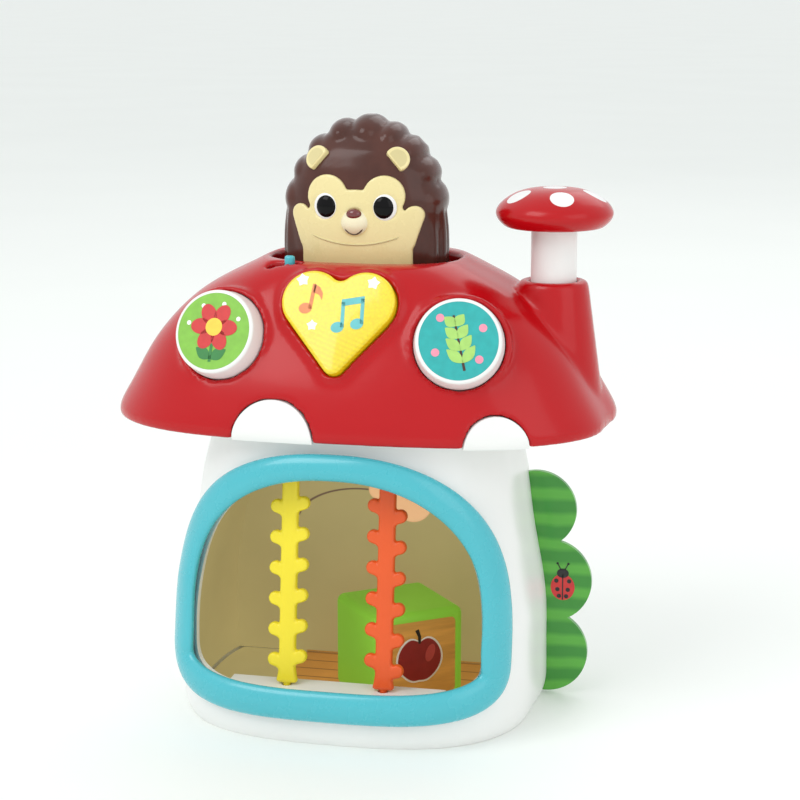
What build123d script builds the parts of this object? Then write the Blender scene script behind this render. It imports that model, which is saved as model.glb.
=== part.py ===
from build123d import *
import os
from math import acos, asin, atan2, cos, degrees, pi, radians, sin

# Pop-up mushroom house for a baby. Sizes are in millimetres, +Z is up, the window faces -Y
# and the origin is the centre of the base, on the surface that the toy stands on.

# Gaps and cuts shared by all pieces
overrun = 6.0
seat_gap = 0.2
box_wall_gap = 1.2
slide_gap = 0.35
pin_gap = 0.05

# House body
house_width = 176.5
house_depth = 162.0
house_height = 144.5
house_wall = 2.6
house_squareness_share = 2.8
house_profile_shares = (
    (0.0, 0.968), (0.03, 0.992), (0.115, 1.003), (0.27, 1.0), (0.48, 0.967), (0.70, 0.906), (0.90, 0.848),
    (1.0, 0.817),
)
seam_offset = 40.0
boss_radius = 4.0
boss_height = 14.0
rib_thickness = 2.0
base_boss_shares = ((0.81, -0.52), (0.55, 0.74))
top_boss_shares = ((0.69, -0.25), (0.50, 0.56))

# Base, floor and lining of the room
base_thickness = 3.0
floor_thickness = 1.2
floor_front_offset = 66.0
liner_thickness = 1.4
liner_front_offset = 34.0
liner_height = 122.0

# Window opening, measured on the middle line of its ring
window_half_width = 74.0
window_bottom = 21.3
window_height = 109.5
window_widest_share = 0.2475
window_upper_share = 2.5
window_lower_share = 4.85
ring_width = 15.0
ring_thickness = 7.2
ring_seat_gap = 0.6
ring_overhang = 3.0

# Sill and lintel that hold the vines
ledge_half_width = 52.0
sill_top = 24.5
sill_thickness = 5.5
sill_back_offset = 59.0
lintel_bottom = 129.5
lintel_thickness = 4.0
lintel_back_offset = 50.0

# Vines
vine_offset = 23.5
vine_foot_offset = 67.0
vine_lean_angle = 6.7
vine_stem_width = 8.0
vine_thickness = 5.0
vine_foot_width = 11.0
vine_foot_height = 7.0
vine_pin_radius = 2.2
vine_pin_length = 3.0
vine_end_gap = 1.0
vine_leaf_pitch = 14.7
vine_leaf_radius = 3.1
vine_leaf_reach = 9.6
vine_leaf_rise = 1.6
vine_leaf_count = 6
yellow_first_leaf = 10.6
yellow_leaf_step = 2.0
orange_first_leaf = 13.5
orange_leaf_step = -4.6

# Bush beside the house
bush_height = 115.7
bush_thickness = 3.0
bush_offset = 14.0
bush_lobe_shares = ((0.9405, 0.823, 0.17), (1.0175, 0.51, 0.1815), (1.0017, 0.193, 0.18))

# Roof
roof_width = 242.0
roof_depth = 148.0
roof_rise = 78.5
roof_lap = 1.0
roof_wall = 2.6
roof_squareness_share = 2.77
roof_profile_shares = (
    (0.0, 0.994, 0.99), (0.025, 1.0, 1.0), (0.172, 0.962, 0.978), (0.401, 0.88, 0.89),
    (0.636, 0.765, 0.78), (0.825, 0.615, 0.70), (0.911, 0.51, 0.655), (0.966, 0.437, 0.61),
    (1.0, 0.395, 0.545),
)
roof_base_thickness = 3.0
roof_boss_shares = (0.78, 0.47)
front_spot_radius = 19.5
front_spot_offset = 28.0
side_spot_radius = 15.0
side_spot_offset = 43.0
side_spot_angle = 27.0

# Pop-up opening in the roof's top
opening_width = 92.0
opening_depth = 59.0
opening_squareness_share = 2.5
opening_sleeve_wall = 2.4
opening_sleeve_length = 14.0

# Round picture buttons
button_offset = 56.7
button_forward = 56.0
button_height = 190.0
button_turn_angle = 9.0
button_tilt_angle = 21.0
button_radius = 20.9
button_taper = 1.2
button_proud = 8.0
button_length = 14.0
button_edge_radius = 1.6
collar_wall = 3.0
collar_depth = 18.0
collar_edge_radius = 2.4
picture_radius = 18.2
picture_thickness = 0.8
dome_radius = 6.0
board_thickness = 1.6

# Heart button
heart_lobe_radius = 14.4
heart_lobe_offset = 12.4
heart_tip_radius = 5.0
heart_tip_drop = 29.4
heart_dip_radius = 5.0
heart_forward = 53.5
heart_height = 206.5
heart_tilt_angle = 25.0
heart_proud = 3.6
lamp_radius = 2.5
lamp_height = 3.5
lamp_offset = 11.0

# On-off switch
switch_offset = 32.0
switch_forward = 33.5
switch_slot_length = 16.4
switch_slot_width = 6.4
switch_knob_length = 6.0
switch_knob_width = 5.0
switch_knob_top = 225.0
switch_pad_bottom = 209.0
switch_pad_margin = 4.0
switch_body_height = 6.0
switch_body_length = 9.0
switch_body_shift = 2.8

# Hedgehog
hedgehog_width = 81.0
hedgehog_depth = 46.0
hedgehog_height = 80.5
hedgehog_wall = 2.4
hedgehog_squareness_share = 2.3
hedgehog_profile_shares = (
    (0.0, 0.965, 0.93), (0.0675, 0.9684, 0.9369), (0.16, 0.975, 0.95), (0.2591, 0.99, 0.9762),
    (0.36, 1.0, 1.0), (0.4502, 0.9925, 1.0063), (0.534, 0.97, 1.0), (0.6116, 0.9303, 0.9831),
    (0.683, 0.875, 0.95), (0.7481, 0.8034, 0.8937), (0.807, 0.72, 0.82), (0.8609, 0.6284, 0.7312),
    (0.907, 0.53, 0.63), (0.9423, 0.4238, 0.5156), (0.969, 0.32, 0.4), (0.9884, 0.2219, 0.2856),
    (1.0, 0.15, 0.2),
)
popup_travel = 60.0
popup_margin = 1.5
face_proud = 1.2
face_back_share = 0.28
brow_shares = (0.169, 0.54)
brow_radius = 9.9
cheek_share = 0.415
cheek_half_width = 24.0
cheek_half_height = 13.2
belly_half_width = 26.8
arm_radius = 4.6
shoulder_shares = (0.29, 0.273)
hand_shares = (0.34, 0.429)
muzzle_share = 0.389
muzzle_radius = 8.0
muzzle_flatten_share = 0.92
muzzle_sink = 4.2
nose_share = 0.4385
nose_half_width = 3.7
nose_flatten_share = 0.72
nose_sink = 0.8
eye_shares = (0.173, 0.478)
eye_radius = 6.6
eye_sink = 3.6
eye_white_radius = 8.8
eye_white_sink = 6.2
ear_shares = (0.236, 0.752)
ear_radius = 5.4
ear_sink = 1.5

# Guide and spring of the hedgehog
guide_radius = 6.0
guide_wall = 2.4
guide_height = 74.0
carriage_share = 0.60
carriage_thickness = 3.0
popup_spring_wall = 2.0

# Plunger and its tower
plunger_offset = 91.5
tower_rise = 69.5
tower_foot_radius = 25.4
tower_top_radius = 16.4
tower_foot_rise = 6.0
tower_edge_radius = 3.0
stem_radius = 10.9
stem_wall = 2.0
stem_flange = 3.0
bushing_length = 24.7
plunger_travel = 20.0
cap_radius = 27.5
cap_gap = 25.0
cap_height = 18.5
cap_rim_rise = 5.0
cap_shoulder_shares = (0.84, 0.6)
cap_tangent_shares = (0.4, 1.0)
cap_spot_radius = 5.6
cap_spot_depth = 0.8
cap_spot_tilt_angle = 38.0
cap_spot_count = 5

# Latch that lets the hedgehog go
latch_pivot_offset = 52.0
latch_arm_length = 40.0
latch_elbow_reach = 25.0
latch_nose_radius = 2.0
latch_hub_radius = 5.0
latch_pin_radius = 2.0
latch_thickness = 5.0
latch_reach = 28.0
latch_lead = 6.0
bracket_wall = 3.0
bracket_foot = 2.0
latch_spring_wall = 1.2
latch_spring_length = 1.5

# Loose block
block_size = 48.0
block_edge_radius = 4.0
block_offset = 18.5
block_forward = 11.0
block_turn_angle = 38.0
block_panel_size = 39.0
block_panel_corner = 3.0
block_panel_depth = 1.6
block_panel_thickness = 1.0

# Screws
screw_head_radius = 3.0
screw_head_height = 1.6
screw_shank_radius = 1.4
screw_length = 10.0
screw_slot_width = 0.8
screw_slot_depth = 0.8

# Batteries, circuit board and loudspeaker behind the room
battery_radius = 7.25
battery_length = 50.5
battery_pitch = 16.0
battery_height = 43.0
battery_box_front = 56.0
battery_box_wall = 1.6
battery_contact_length = 2.0
battery_contact_size = 10.0
door_margin = 3.0
door_tab_height = 9.0
door_boss_radius = 3.5
door_boss_depth = 14.0
board_width = 48.0
board_height = 36.0
main_board_offset = 30.0
main_board_height = 100.0
main_board_back = 52.0
standoff_radius = 2.5
standoff_inset = 4.0
speaker_radius = 18.5
speaker_magnet_radius = 11.0
speaker_depth = 10.0
speaker_offset = 30.0
speaker_height = 100.0
speaker_seat_offset = 57.0
speaker_seat_wall = 4.0
grille_hole_radius = 1.5
grille_pitch = 4.6
grille_ring_count = 2

# Smoothness of the drawn ovals
oval_point_count = 16
ledge_step_count = 8
window_point_count = 48

# Heights that follow from the sizes above
roof_bottom = house_height - roof_lap
roof_top = roof_bottom + roof_rise
deck = house_height + roof_base_thickness
hedgehog_bottom = deck + popup_travel + popup_margin
tower_top = roof_bottom + tower_rise
latch_slot_top = tower_top - bushing_length
floor_top = base_thickness + floor_thickness


def superoval_edge(half_width, half_depth, squareness):
    """Closed edge of a squarish oval."""
    points = []
    for step in range(oval_point_count):
        turn = 2 * pi * step / oval_point_count
        reach = (abs(cos(turn)) ** squareness + abs(sin(turn)) ** squareness) ** (-1 / squareness)
        points.append((half_width * reach * cos(turn), half_depth * reach * sin(turn)))
    return Wire(Spline(points, periodic=True).edges())


def superoval(half_width, half_depth, squareness):
    """Flat face bounded by a squarish oval."""
    return Face(superoval_edge(half_width, half_depth, squareness))


def oval_loft(levels, squareness):
    """Smooth solid through ovals given as (height, half width, half depth)."""
    sections = []
    for height, half_width, half_depth in levels:
        sections.append(Pos(0, 0, height) * superoval(half_width, half_depth, squareness))
    return loft(sections)


def shell_loft(levels, inner_levels, squareness):
    """Hollow wall between two lofted forms whose levels are at the same heights."""
    sections = []
    for outer, inner in zip(levels, inner_levels):
        hole = superoval_edge(inner[1], inner[2], squareness)
        ring = Face(superoval_edge(outer[1], outer[2], squareness), [hole])
        sections.append(Pos(0, 0, outer[0]) * ring)
    return loft(sections)


def inset_levels(levels, inset):
    """The same levels with ovals small enough to leave a wall of even thickness on a sloping side."""
    moved = []
    for index, (height, half_width, half_depth) in enumerate(levels):
        below = levels[max(index - 1, 0)]
        above = levels[min(index + 1, len(levels) - 1)]
        rise = above[0] - below[0]
        run = above[1] - below[1]
        across = inset * (rise ** 2 + run ** 2) ** 0.5 / rise
        moved.append((height, half_width - across, half_depth - across))
    return moved


def grown(levels, extra):
    """The same levels with every oval made larger all round."""
    return [(height, half_width + extra, half_depth + extra) for height, half_width, half_depth in levels]


def open_ended(levels):
    """The same levels run on past both ends."""
    first = (levels[0][0] - overrun, levels[0][1], levels[0][2])
    last = (levels[-1][0] + overrun, levels[-1][1], levels[-1][2])
    return [first] + list(levels[1:-1]) + [last]


def width_at(levels, height):
    """Half width and half depth of a lofted form at a height, read between its levels."""
    for lower, upper in zip(levels, levels[1:]):
        if height <= upper[0]:
            share = (height - lower[0]) / (upper[0] - lower[0])
            return lower[1] + share * (upper[1] - lower[1]), lower[2] + share * (upper[2] - lower[2])
    return levels[-1][1], levels[-1][2]


def front_at(levels, squareness, x, height):
    """Distance of a lofted form's front surface from the middle plane."""
    half_width, half_depth = width_at(levels, height)
    return half_depth * (1 - abs(x / half_width) ** squareness) ** (1 / squareness)


def facing(y):
    """Upright plane at a depth, seen from the front: its own axes are X and Z."""
    return Plane(origin=(0, y, 0), x_dir=(1, 0, 0), z_dir=(0, -1, 0))


def slab(outline, back, front):
    """Solid between two depths from an outline drawn in X and Z."""
    return extrude(facing(back) * outline, amount=back - front)


def post(x, y, low, high, radius):
    """Upright round post between two heights."""
    return Pos(x, y, low) * Cylinder(radius, high - low, align=(Align.CENTER, Align.CENTER, Align.MIN))


def rod(x, z, back, front, radius):
    """Round rod along Y between two depths."""
    return slab(Pos(x, z) * Circle(radius), back, front)


def block_between(low, high):
    """Box between two corners."""
    size = [b - a for a, b in zip(low, high)]
    middle = [(a + b) / 2 for a, b in zip(low, high)]
    return Pos(*middle) * Box(*size)


def tangent_normal(start, start_radius, end, end_radius, side):
    """Direction from two circles' centres to the straight line that touches both on one side."""
    across = Vector(*end) - Vector(*start)
    lean = acos((start_radius - end_radius) / across.length)
    turn = atan2(across.Y, across.X) - side * lean
    return Vector(cos(turn), sin(turn))


def link(start, start_radius, end, end_radius):
    """Flat tapered link round two circles."""
    low, high = Vector(*start), Vector(*end)
    right = tangent_normal(start, start_radius, end, end_radius, 1)
    left = tangent_normal(start, start_radius, end, end_radius, -1)
    along = (high - low).normalized()
    outline = [
        Line(low + right * start_radius, high + right * end_radius),
        ThreePointArc(high + right * end_radius, high + along * end_radius, high + left * end_radius),
        Line(high + left * end_radius, low + left * start_radius),
        ThreePointArc(low + left * start_radius, low - along * start_radius, low + right * start_radius),
    ]
    return make_face(outline)


def both_sides(make):
    """A piece made at the right and again at the left."""
    return make(1) + make(-1)


def screw(length):
    """Pan-head screw with its head's underside at zero and its shank upwards."""
    head = Cylinder(screw_head_radius, screw_head_height, align=(Align.CENTER, Align.CENTER, Align.MAX))
    shank = Cylinder(screw_shank_radius, length, align=(Align.CENTER, Align.CENTER, Align.MIN))
    slot = Box(screw_head_radius * 2, screw_slot_width, screw_slot_depth)
    slot_place = Pos(0, 0, -screw_head_height + screw_slot_depth / 2)
    cross = slot_place * slot + slot_place * Rot(0, 0, 90) * slot
    return head + shank - cross


def screw_group(places, height, upwards):
    """Screws at several places, driven upwards or downwards."""
    turn = Rot(0, 0, 0) if upwards else Rot(180, 0, 0)
    return Compound([Pos(x, y, height) * turn * screw(screw_length) for x, y in places])


house_levels = [
    (house_height * rise, house_width / 2 * width, house_depth / 2 * width)
    for rise, width in house_profile_shares
]
roof_levels = [
    (roof_bottom + roof_rise * rise, roof_width / 2 * width, roof_depth / 2 * depth)
    for rise, width, depth in roof_profile_shares
]
hedgehog_levels = [
    (hedgehog_bottom + hedgehog_height * rise, hedgehog_width / 2 * width, hedgehog_depth / 2 * depth)
    for rise, width, depth in hedgehog_profile_shares
]
base_boss_places = [
    (side * house_width / 2 * across, house_depth / 2 * back)
    for across, back in base_boss_shares for side in (1, -1)
]
top_boss_places = [
    (side * house_width / 2 * across, house_depth / 2 * back)
    for across, back in top_boss_shares for side in (1, -1)
]
roof_boss_places = [
    (side * roof_width / 2 * roof_boss_shares[0], end * roof_depth / 2 * roof_boss_shares[1])
    for end in (1, -1) for side in (1, -1)
]

# House walls, and the middle of their thickness, where what they carry is rooted
house_inside_levels = grown(house_levels, -house_wall)
house_walls = shell_loft(house_levels, house_inside_levels, house_squareness_share)
house_outside = oval_loft(house_levels, house_squareness_share)
house_middle = oval_loft(grown(house_levels, -house_wall / 2), house_squareness_share)


def window_points(extra):
    """Points round the window, from its top, outside the ring's middle line by extra."""
    widest = window_bottom + window_height * window_widest_share
    above = window_bottom + window_height - widest + extra
    below = widest - window_bottom + extra
    points = []
    for step in range(window_point_count):
        turn = 2 * pi * step / window_point_count
        upper = cos(turn) >= 0
        squareness = window_upper_share if upper else window_lower_share
        reach = (abs(cos(turn)) ** squareness + abs(sin(turn)) ** squareness) ** (-1 / squareness)
        height = widest + (above if upper else below) * reach * cos(turn)
        points.append(((window_half_width + extra) * reach * sin(turn), height))
    return points


def window_outline(extra):
    """Face of the window, larger than the ring's middle line by extra all round."""
    return make_face(Spline(window_points(extra), periodic=True))


window_hole = slab(window_outline(ring_overhang - ring_width / 2), 0, -house_depth)


def bracket_boss(x, y, low, high):
    """Screw boss with a rib that ties it to the nearest wall."""
    column = post(x, y, low, high, boss_radius)
    half_width, half_depth = width_at(house_levels, (low + high) / 2)
    side = 1 if x > 0 else -1
    if y < seam_offset:
        spare = 1 - abs(y / half_depth) ** house_squareness_share
        reach = half_width * spare ** (1 / house_squareness_share)
        ends = sorted((x, side * (reach - house_wall / 2)))
        rib = block_between((ends[0], y - rib_thickness / 2, low), (ends[1], y + rib_thickness / 2, high))
    else:
        reach = front_at(house_levels, house_squareness_share, x, (low + high) / 2)
        rib = block_between(
            (x - rib_thickness / 2, y, low), (x + rib_thickness / 2, reach - house_wall / 2, high)
        )
    return column + rib - post(x, y, low - overrun, high + overrun, screw_shank_radius + pin_gap)


house_bosses = []
for x, y in base_boss_places:
    house_bosses.append((y, bracket_boss(x, y, base_thickness, base_thickness + boss_height)))
for x, y in top_boss_places:
    house_bosses.append((y, bracket_boss(x, y, house_height - boss_height, house_height)))


def vine_placement(side):
    """Place of a vine: its foot on the sill, leaning back with the wall."""
    return Pos(side * vine_offset, -vine_foot_offset, sill_top) * Rot(-vine_lean_angle, 0, 0)


vine_length = (lintel_bottom - sill_top) / cos(radians(vine_lean_angle))
vine_socket = Cylinder(vine_pin_radius + slide_gap, vine_length + vine_pin_length * 2 + overrun * 2)


def vine_sockets():
    """Holes in sill and lintel for the vines' end pins."""
    lift = Pos(0, 0, vine_length / 2)
    return both_sides(lambda side: vine_placement(side) * lift * vine_socket)


def ledge(back, low, high):
    """Flat ledge inside the front wall, its front edge rooted in the wall's thickness."""
    points = [(ledge_half_width, -back), (-ledge_half_width, -back)]
    middle = (low + high) / 2
    for step in range(ledge_step_count + 1):
        x = ledge_half_width * (2 * step / ledge_step_count - 1)
        points.append((x, house_wall / 2 - front_at(house_levels, house_squareness_share, x, middle)))
    outline = make_face(Polyline(points, close=True))
    return Pos(0, 0, low) * extrude(outline, amount=high - low)


def sill():
    """Ledge below the window."""
    return ledge(sill_back_offset, sill_top - sill_thickness, sill_top)


def lintel():
    """Ledge above the window."""
    return ledge(lintel_back_offset, lintel_bottom, lintel_bottom + lintel_thickness)


def bush_outline(extra):
    """Three round lobes of the bush, one above the other."""
    outline = None
    for across, rise, radius in bush_lobe_shares:
        place = Pos(house_width / 2 * across, bush_height * rise)
        lobe = place * Circle(bush_height * radius + extra)
        outline = lobe if outline is None else outline + lobe
    return outline


def bush_plate():
    """Flat bush whose inner edge fills a slot in the right wall."""
    plate = slab(bush_outline(0), bush_offset + bush_thickness, bush_offset)
    return plate - house_middle


def house_front_shell():
    """Front part of the house, with the window and all that its walls carry."""
    front = block_between(
        (-house_width, -house_depth, -overrun), (house_width, seam_offset, house_height + overrun)
    )
    slot = slab(bush_outline(seat_gap), bush_offset + bush_thickness + seat_gap, bush_offset - seat_gap)
    shell = (house_walls & front) - [window_hole, slot]
    ledges = [sill() - vine_sockets(), lintel() - vine_sockets()]
    return shell + ledges + [boss for y, boss in house_bosses if y < seam_offset]


def wall_normal(x, z):
    """Direction that the front wall faces at a place."""
    half = seat_gap / 2
    across = front_at(house_levels, house_squareness_share, x + half, z)
    across = across - front_at(house_levels, house_squareness_share, x - half, z)
    rise = front_at(house_levels, house_squareness_share, x, z + half)
    rise = rise - front_at(house_levels, house_squareness_share, x, z - half)
    return Vector(-across, -seat_gap, -rise).normalized()


def ring_points():
    """Middle line of the ring, in front of the house, from its top round to its top again."""
    points = []
    for x, z in window_points(0):
        wall = Vector(x, -front_at(house_levels, house_squareness_share, x, z), z)
        normal = wall_normal(x, z)
        points.append((wall + normal * (ring_thickness / 2 + ring_seat_gap), normal))
    return points


def window_ring():
    """Rounded bead round the window, its two halves alike and joined at the top and the bottom."""
    points = ring_points()
    section = Ellipse(ring_width / 2, ring_thickness / 2)
    sections = []
    for index in range(window_point_count // 2, window_point_count + 1):
        here, normal = points[index % window_point_count]
        along = points[(index + 1) % window_point_count][0] - points[index - 1][0]
        sections.append(Plane(origin=here, x_dir=along.cross(normal), z_dir=along) * section)
    left = loft(sections)
    return left + mirror(left, about=Plane.YZ)


def vine(side, first_leaf, leaf_step):
    """Soft strip with pairs of leaves, a spread foot and a pin at each end."""
    outline = Pos(0, vine_length / 2) * Rectangle(vine_stem_width, vine_length - vine_end_gap * 2)
    foot = Polygon(
        (-vine_foot_width / 2, vine_end_gap), (vine_foot_width / 2, vine_end_gap),
        (vine_stem_width / 2, vine_foot_height), (-vine_stem_width / 2, vine_foot_height),
        align=None,
    )
    shapes = [foot]
    for index in range(vine_leaf_count):
        for hand in (1, -1):
            height = first_leaf + vine_leaf_pitch * index + leaf_step * (hand + 1) / 2
            tip = (hand * (vine_leaf_reach - vine_leaf_radius), height + vine_leaf_rise)
            root = (hand * (vine_stem_width / 2 - vine_leaf_radius), height - vine_leaf_rise)
            shapes.append(link(root, vine_leaf_radius, tip, vine_leaf_radius))
    strip = slab(outline + shapes, vine_thickness / 2, -vine_thickness / 2)
    low_pin = post(0, 0, -vine_pin_length, vine_foot_height, vine_pin_radius)
    high_pin = post(0, 0, vine_length - vine_foot_height, vine_length + vine_pin_length, vine_pin_radius)
    return vine_placement(side) * (strip + low_pin + high_pin)


def base_plate():
    """Flat bottom with sunk holes for its screws."""
    half_width = house_levels[0][1] - house_wall - seat_gap
    half_depth = house_levels[0][2] - house_wall - seat_gap
    plate = extrude(superoval(half_width, half_depth, house_squareness_share), amount=base_thickness)
    for x, y in base_boss_places:
        plate = plate - post(x, y, -overrun, overrun, screw_shank_radius + seat_gap)
        plate = plate - post(x, y, -overrun, screw_head_height + seat_gap, screw_head_radius + seat_gap)
    return plate


def floor_board():
    """Thin printed floor of the room."""
    half_width = house_levels[0][1] - house_wall - liner_thickness - seat_gap * 2
    half_depth = house_levels[0][2] - house_wall - liner_thickness - seat_gap * 2
    sheet = extrude(superoval(half_width, half_depth, house_squareness_share), amount=floor_thickness)
    sheet = Pos(0, 0, base_thickness) * sheet
    room = block_between(
        (-house_width, -floor_front_offset, 0),
        (house_width, seam_offset - liner_thickness * 2 - seat_gap, house_height),
    )
    sheet = sheet & room
    for x, y in base_boss_places:
        sheet = sheet - post(x, y, 0, house_height, boss_radius + slide_gap)
        side = 1 if x > 0 else -1
        ends = sorted((x, x + side * house_width))
        sheet = sheet - block_between(
            (ends[0], y - rib_thickness, 0), (ends[1], y + rib_thickness, house_height)
        )
    return sheet


def room_liner():
    """Bent sheet that lines the sides and the back of the room."""
    outer_levels = grown(house_levels, -house_wall - seat_gap)
    inner_levels = grown(outer_levels, -liner_thickness)
    back = seam_offset - liner_thickness
    low = floor_top + seat_gap
    high = floor_top + liner_height
    sides = shell_loft(outer_levels, inner_levels, house_squareness_share) & block_between(
        (-house_width, -liner_front_offset, low), (house_width, back, high)
    )
    middle = oval_loft(grown(outer_levels, -liner_thickness / 2), house_squareness_share)
    sheet = middle & block_between(
        (-house_width, back - liner_thickness, low), (house_width, back, high)
    )
    return sides + sheet


box_half_length = battery_length / 2 + battery_contact_length + seat_gap
box_half_height = battery_pitch / 2 + battery_radius + seat_gap
door_half_width = box_half_length - door_margin
door_low = battery_height - box_half_height + door_margin
door_high = battery_height + box_half_height + door_tab_height
door_screw_height = battery_height + box_half_height + battery_box_wall + door_boss_radius


def door_block(extra):
    """Upright block that cuts the battery door out of the rear wall."""
    return block_between(
        (-door_half_width - extra, battery_box_front, door_low - extra),
        (door_half_width + extra, house_depth, door_high + extra),
    )


def door_screw_seat():
    """Depth of the wall's outside at the door's screw."""
    return front_at(house_levels, house_squareness_share, 0, door_screw_height)


def battery_door():
    """Flush door in the rear wall, with a sunk hole for its screw."""
    door = house_walls & door_block(-slide_gap)
    seat = door_screw_seat() - house_wall / 2
    hole = rod(0, door_screw_height, house_depth, 0, screw_shank_radius + seat_gap)
    sink = rod(0, door_screw_height, house_depth, seat, screw_head_radius + seat_gap)
    return door - hole - sink


def battery_door_screw():
    """Captive screw of the battery door."""
    seat = door_screw_seat() - house_wall / 2 + pin_gap
    return Pos(0, seat, door_screw_height) * Rot(90, 0, 0) * screw(screw_length)


def battery_box():
    """Tray for two cells, open towards the door, with the door's screw boss."""
    wall = battery_box_wall
    outer = block_between(
        (-box_half_length - wall, battery_box_front, battery_height - box_half_height - wall),
        (box_half_length + wall, house_depth, battery_height + box_half_height + wall),
    )
    inner = block_between(
        (-box_half_length, battery_box_front + wall, battery_height - box_half_height),
        (box_half_length, house_depth, battery_height + box_half_height),
    )
    back = door_screw_seat() - house_wall - seat_gap
    boss = rod(0, door_screw_height, house_depth, back - door_boss_depth, door_boss_radius)
    web = block_between(
        (-door_boss_radius, back - door_boss_depth, battery_height + box_half_height),
        (door_boss_radius, house_depth, door_screw_height),
    )
    bore = rod(0, door_screw_height, house_depth, 0, screw_shank_radius + pin_gap)
    inside = oval_loft(open_ended(grown(house_levels, -house_wall - box_wall_gap)), house_squareness_share)
    return ((outer - inner + web + boss) & inside) - bore


battery_depth = battery_box_front + battery_box_wall + battery_radius + seat_gap


def battery_places():
    """Height and direction of each cell."""
    return ((battery_height - battery_pitch / 2, 1), (battery_height + battery_pitch / 2, -1))


def batteries():
    """Two cells with their terminal buttons, lying side by side."""
    cells = []
    button = battery_contact_length / 2
    for height, way in battery_places():
        case = Cylinder(battery_radius, battery_length - button)
        tip = Pos(0, 0, battery_length / 2) * Cylinder(battery_radius / 3, button)
        place = Pos(0, battery_depth, height) * Rot(0, 90 * way, 0)
        cells.append(place * Pos(0, 0, -button / 2) * (case + tip))
    return Compound(cells)


def battery_contacts():
    """Spring plates at the ends of the cells."""
    plates = []
    for height, way in battery_places():
        for side in (1, -1):
            x = side * (battery_length / 2 + battery_contact_length / 2 + seat_gap / 2)
            plate = Box(battery_contact_length, battery_contact_size, battery_contact_size)
            plates.append(Pos(x, battery_depth, height) * plate)
    return Compound(plates)


def standoff_places():
    """Corners of the circuit board that stand on posts."""
    across = board_width / 2 - standoff_inset
    up = board_height / 2 - standoff_inset
    return [
        (-main_board_offset + side * across, main_board_height + end * up)
        for side in (1, -1) for end in (1, -1)
    ]


def rear_cover():
    """Rear part of the house, with the door's opening, the grille and its seats."""
    rear = block_between(
        (-house_width, seam_offset, -overrun), (house_width, house_depth, house_height + overrun)
    )
    holes = [door_block(0)]
    for ring in range(grille_ring_count + 1):
        for step in range(max(1, 6 * ring)):
            turn = 2 * pi * step / max(1, 6 * ring)
            x = speaker_offset + grille_pitch * ring * cos(turn)
            z = speaker_height + grille_pitch * ring * sin(turn)
            holes.append(rod(x, z, house_depth, speaker_seat_offset, grille_hole_radius))
    cover = (house_walls & rear) - holes
    seat = rod(speaker_offset, speaker_height, house_depth, speaker_seat_offset, speaker_radius)
    seat = seat - rod(speaker_offset, speaker_height, house_depth, 0, speaker_radius - speaker_seat_wall)
    carried = [seat & house_middle]
    for x, z in standoff_places():
        carried.append(rod(x, z, house_depth, main_board_back, standoff_radius) & house_middle)
    return cover + carried + [boss for y, boss in house_bosses if y > seam_offset]


def main_board():
    """Circuit board on its posts, with its chip."""
    place = Pos(-main_board_offset, main_board_back - board_thickness / 2, main_board_height)
    board = Box(board_width, board_thickness, board_height)
    chip = Box(board_height / 3, board_thickness, board_height / 3)
    return place * (board + Pos(0, -board_thickness, 0) * chip)


def speaker():
    """Small loudspeaker, its rim on the seat and its magnet forwards."""
    seat = speaker_seat_offset
    rim = rod(speaker_offset, speaker_height, seat, seat - speaker_depth / 2, speaker_radius)
    magnet = rod(speaker_offset, speaker_height, seat, seat - speaker_depth, speaker_magnet_radius)
    return rim + magnet


# Roof walls, and the middle of their thickness, where what they carry is rooted
roof_walls = shell_loft(roof_levels, inset_levels(roof_levels, roof_wall), roof_squareness_share)
roof_middle = oval_loft(inset_levels(roof_levels, roof_wall / 2), roof_squareness_share)


def button_plane(side):
    """Plane of a round button's collar, facing forwards, outwards and up."""
    turn = radians(button_turn_angle) * side
    tilt = radians(button_tilt_angle)
    return Plane(
        origin=(side * button_offset, -button_forward, button_height),
        x_dir=(cos(turn), sin(turn), 0),
        z_dir=(sin(turn) * cos(tilt), -cos(turn) * cos(tilt), sin(tilt)),
    )


def heart_plane():
    """Plane of the heart button's collar."""
    tilt = radians(heart_tilt_angle)
    return Plane(
        origin=(0, -heart_forward, heart_height), x_dir=(1, 0, 0), z_dir=(0, -cos(tilt), sin(tilt))
    )


def heart_outline(extra):
    """Heart with round lobes and a round tip, its origin between the lobes' centres."""
    lobe_radius = heart_lobe_radius + extra
    tip_radius = heart_tip_radius + extra
    lobe = Vector(heart_lobe_offset, 0)
    tip = Vector(0, -heart_tip_drop)
    normal = tangent_normal((0, -heart_tip_drop), tip_radius, (heart_lobe_offset, 0), lobe_radius, 1)
    dip = Vector(0, (lobe_radius ** 2 - heart_lobe_offset ** 2) ** 0.5)
    lobe_end = lobe + normal * lobe_radius
    tip_start = tip + normal * tip_radius
    edges = [
        ThreePointArc(dip, lobe + Vector(0, lobe_radius).rotate(Axis.Z, -45), lobe_end),
        Line(lobe_end, tip_start),
    ]
    edges.append(ThreePointArc(tip_start, tip - Vector(0, tip_radius), Vector(-tip_start.X, tip_start.Y)))
    edges.extend([mirror(edge, about=Plane.YZ) for edge in edges[:2]])
    heart = make_face(edges)
    notch = heart.vertices().sort_by_distance(dip)[0]
    return fillet(notch, heart_dip_radius + extra)


def disc(radius, top, thickness):
    """Flat round piece with its top at a height."""
    return Pos(0, 0, top) * Cylinder(radius, thickness, align=(Align.CENTER, Align.CENTER, Align.MAX))


def rounded_top(solid, radius):
    """The solid with the edges of its highest face rounded."""
    return fillet(solid.faces().sort_by(Axis.Z)[-1].edges(), radius)


def on_plane(plane, solid):
    """A solid drawn about the origin, moved to a plane."""
    return plane.location * solid


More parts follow.
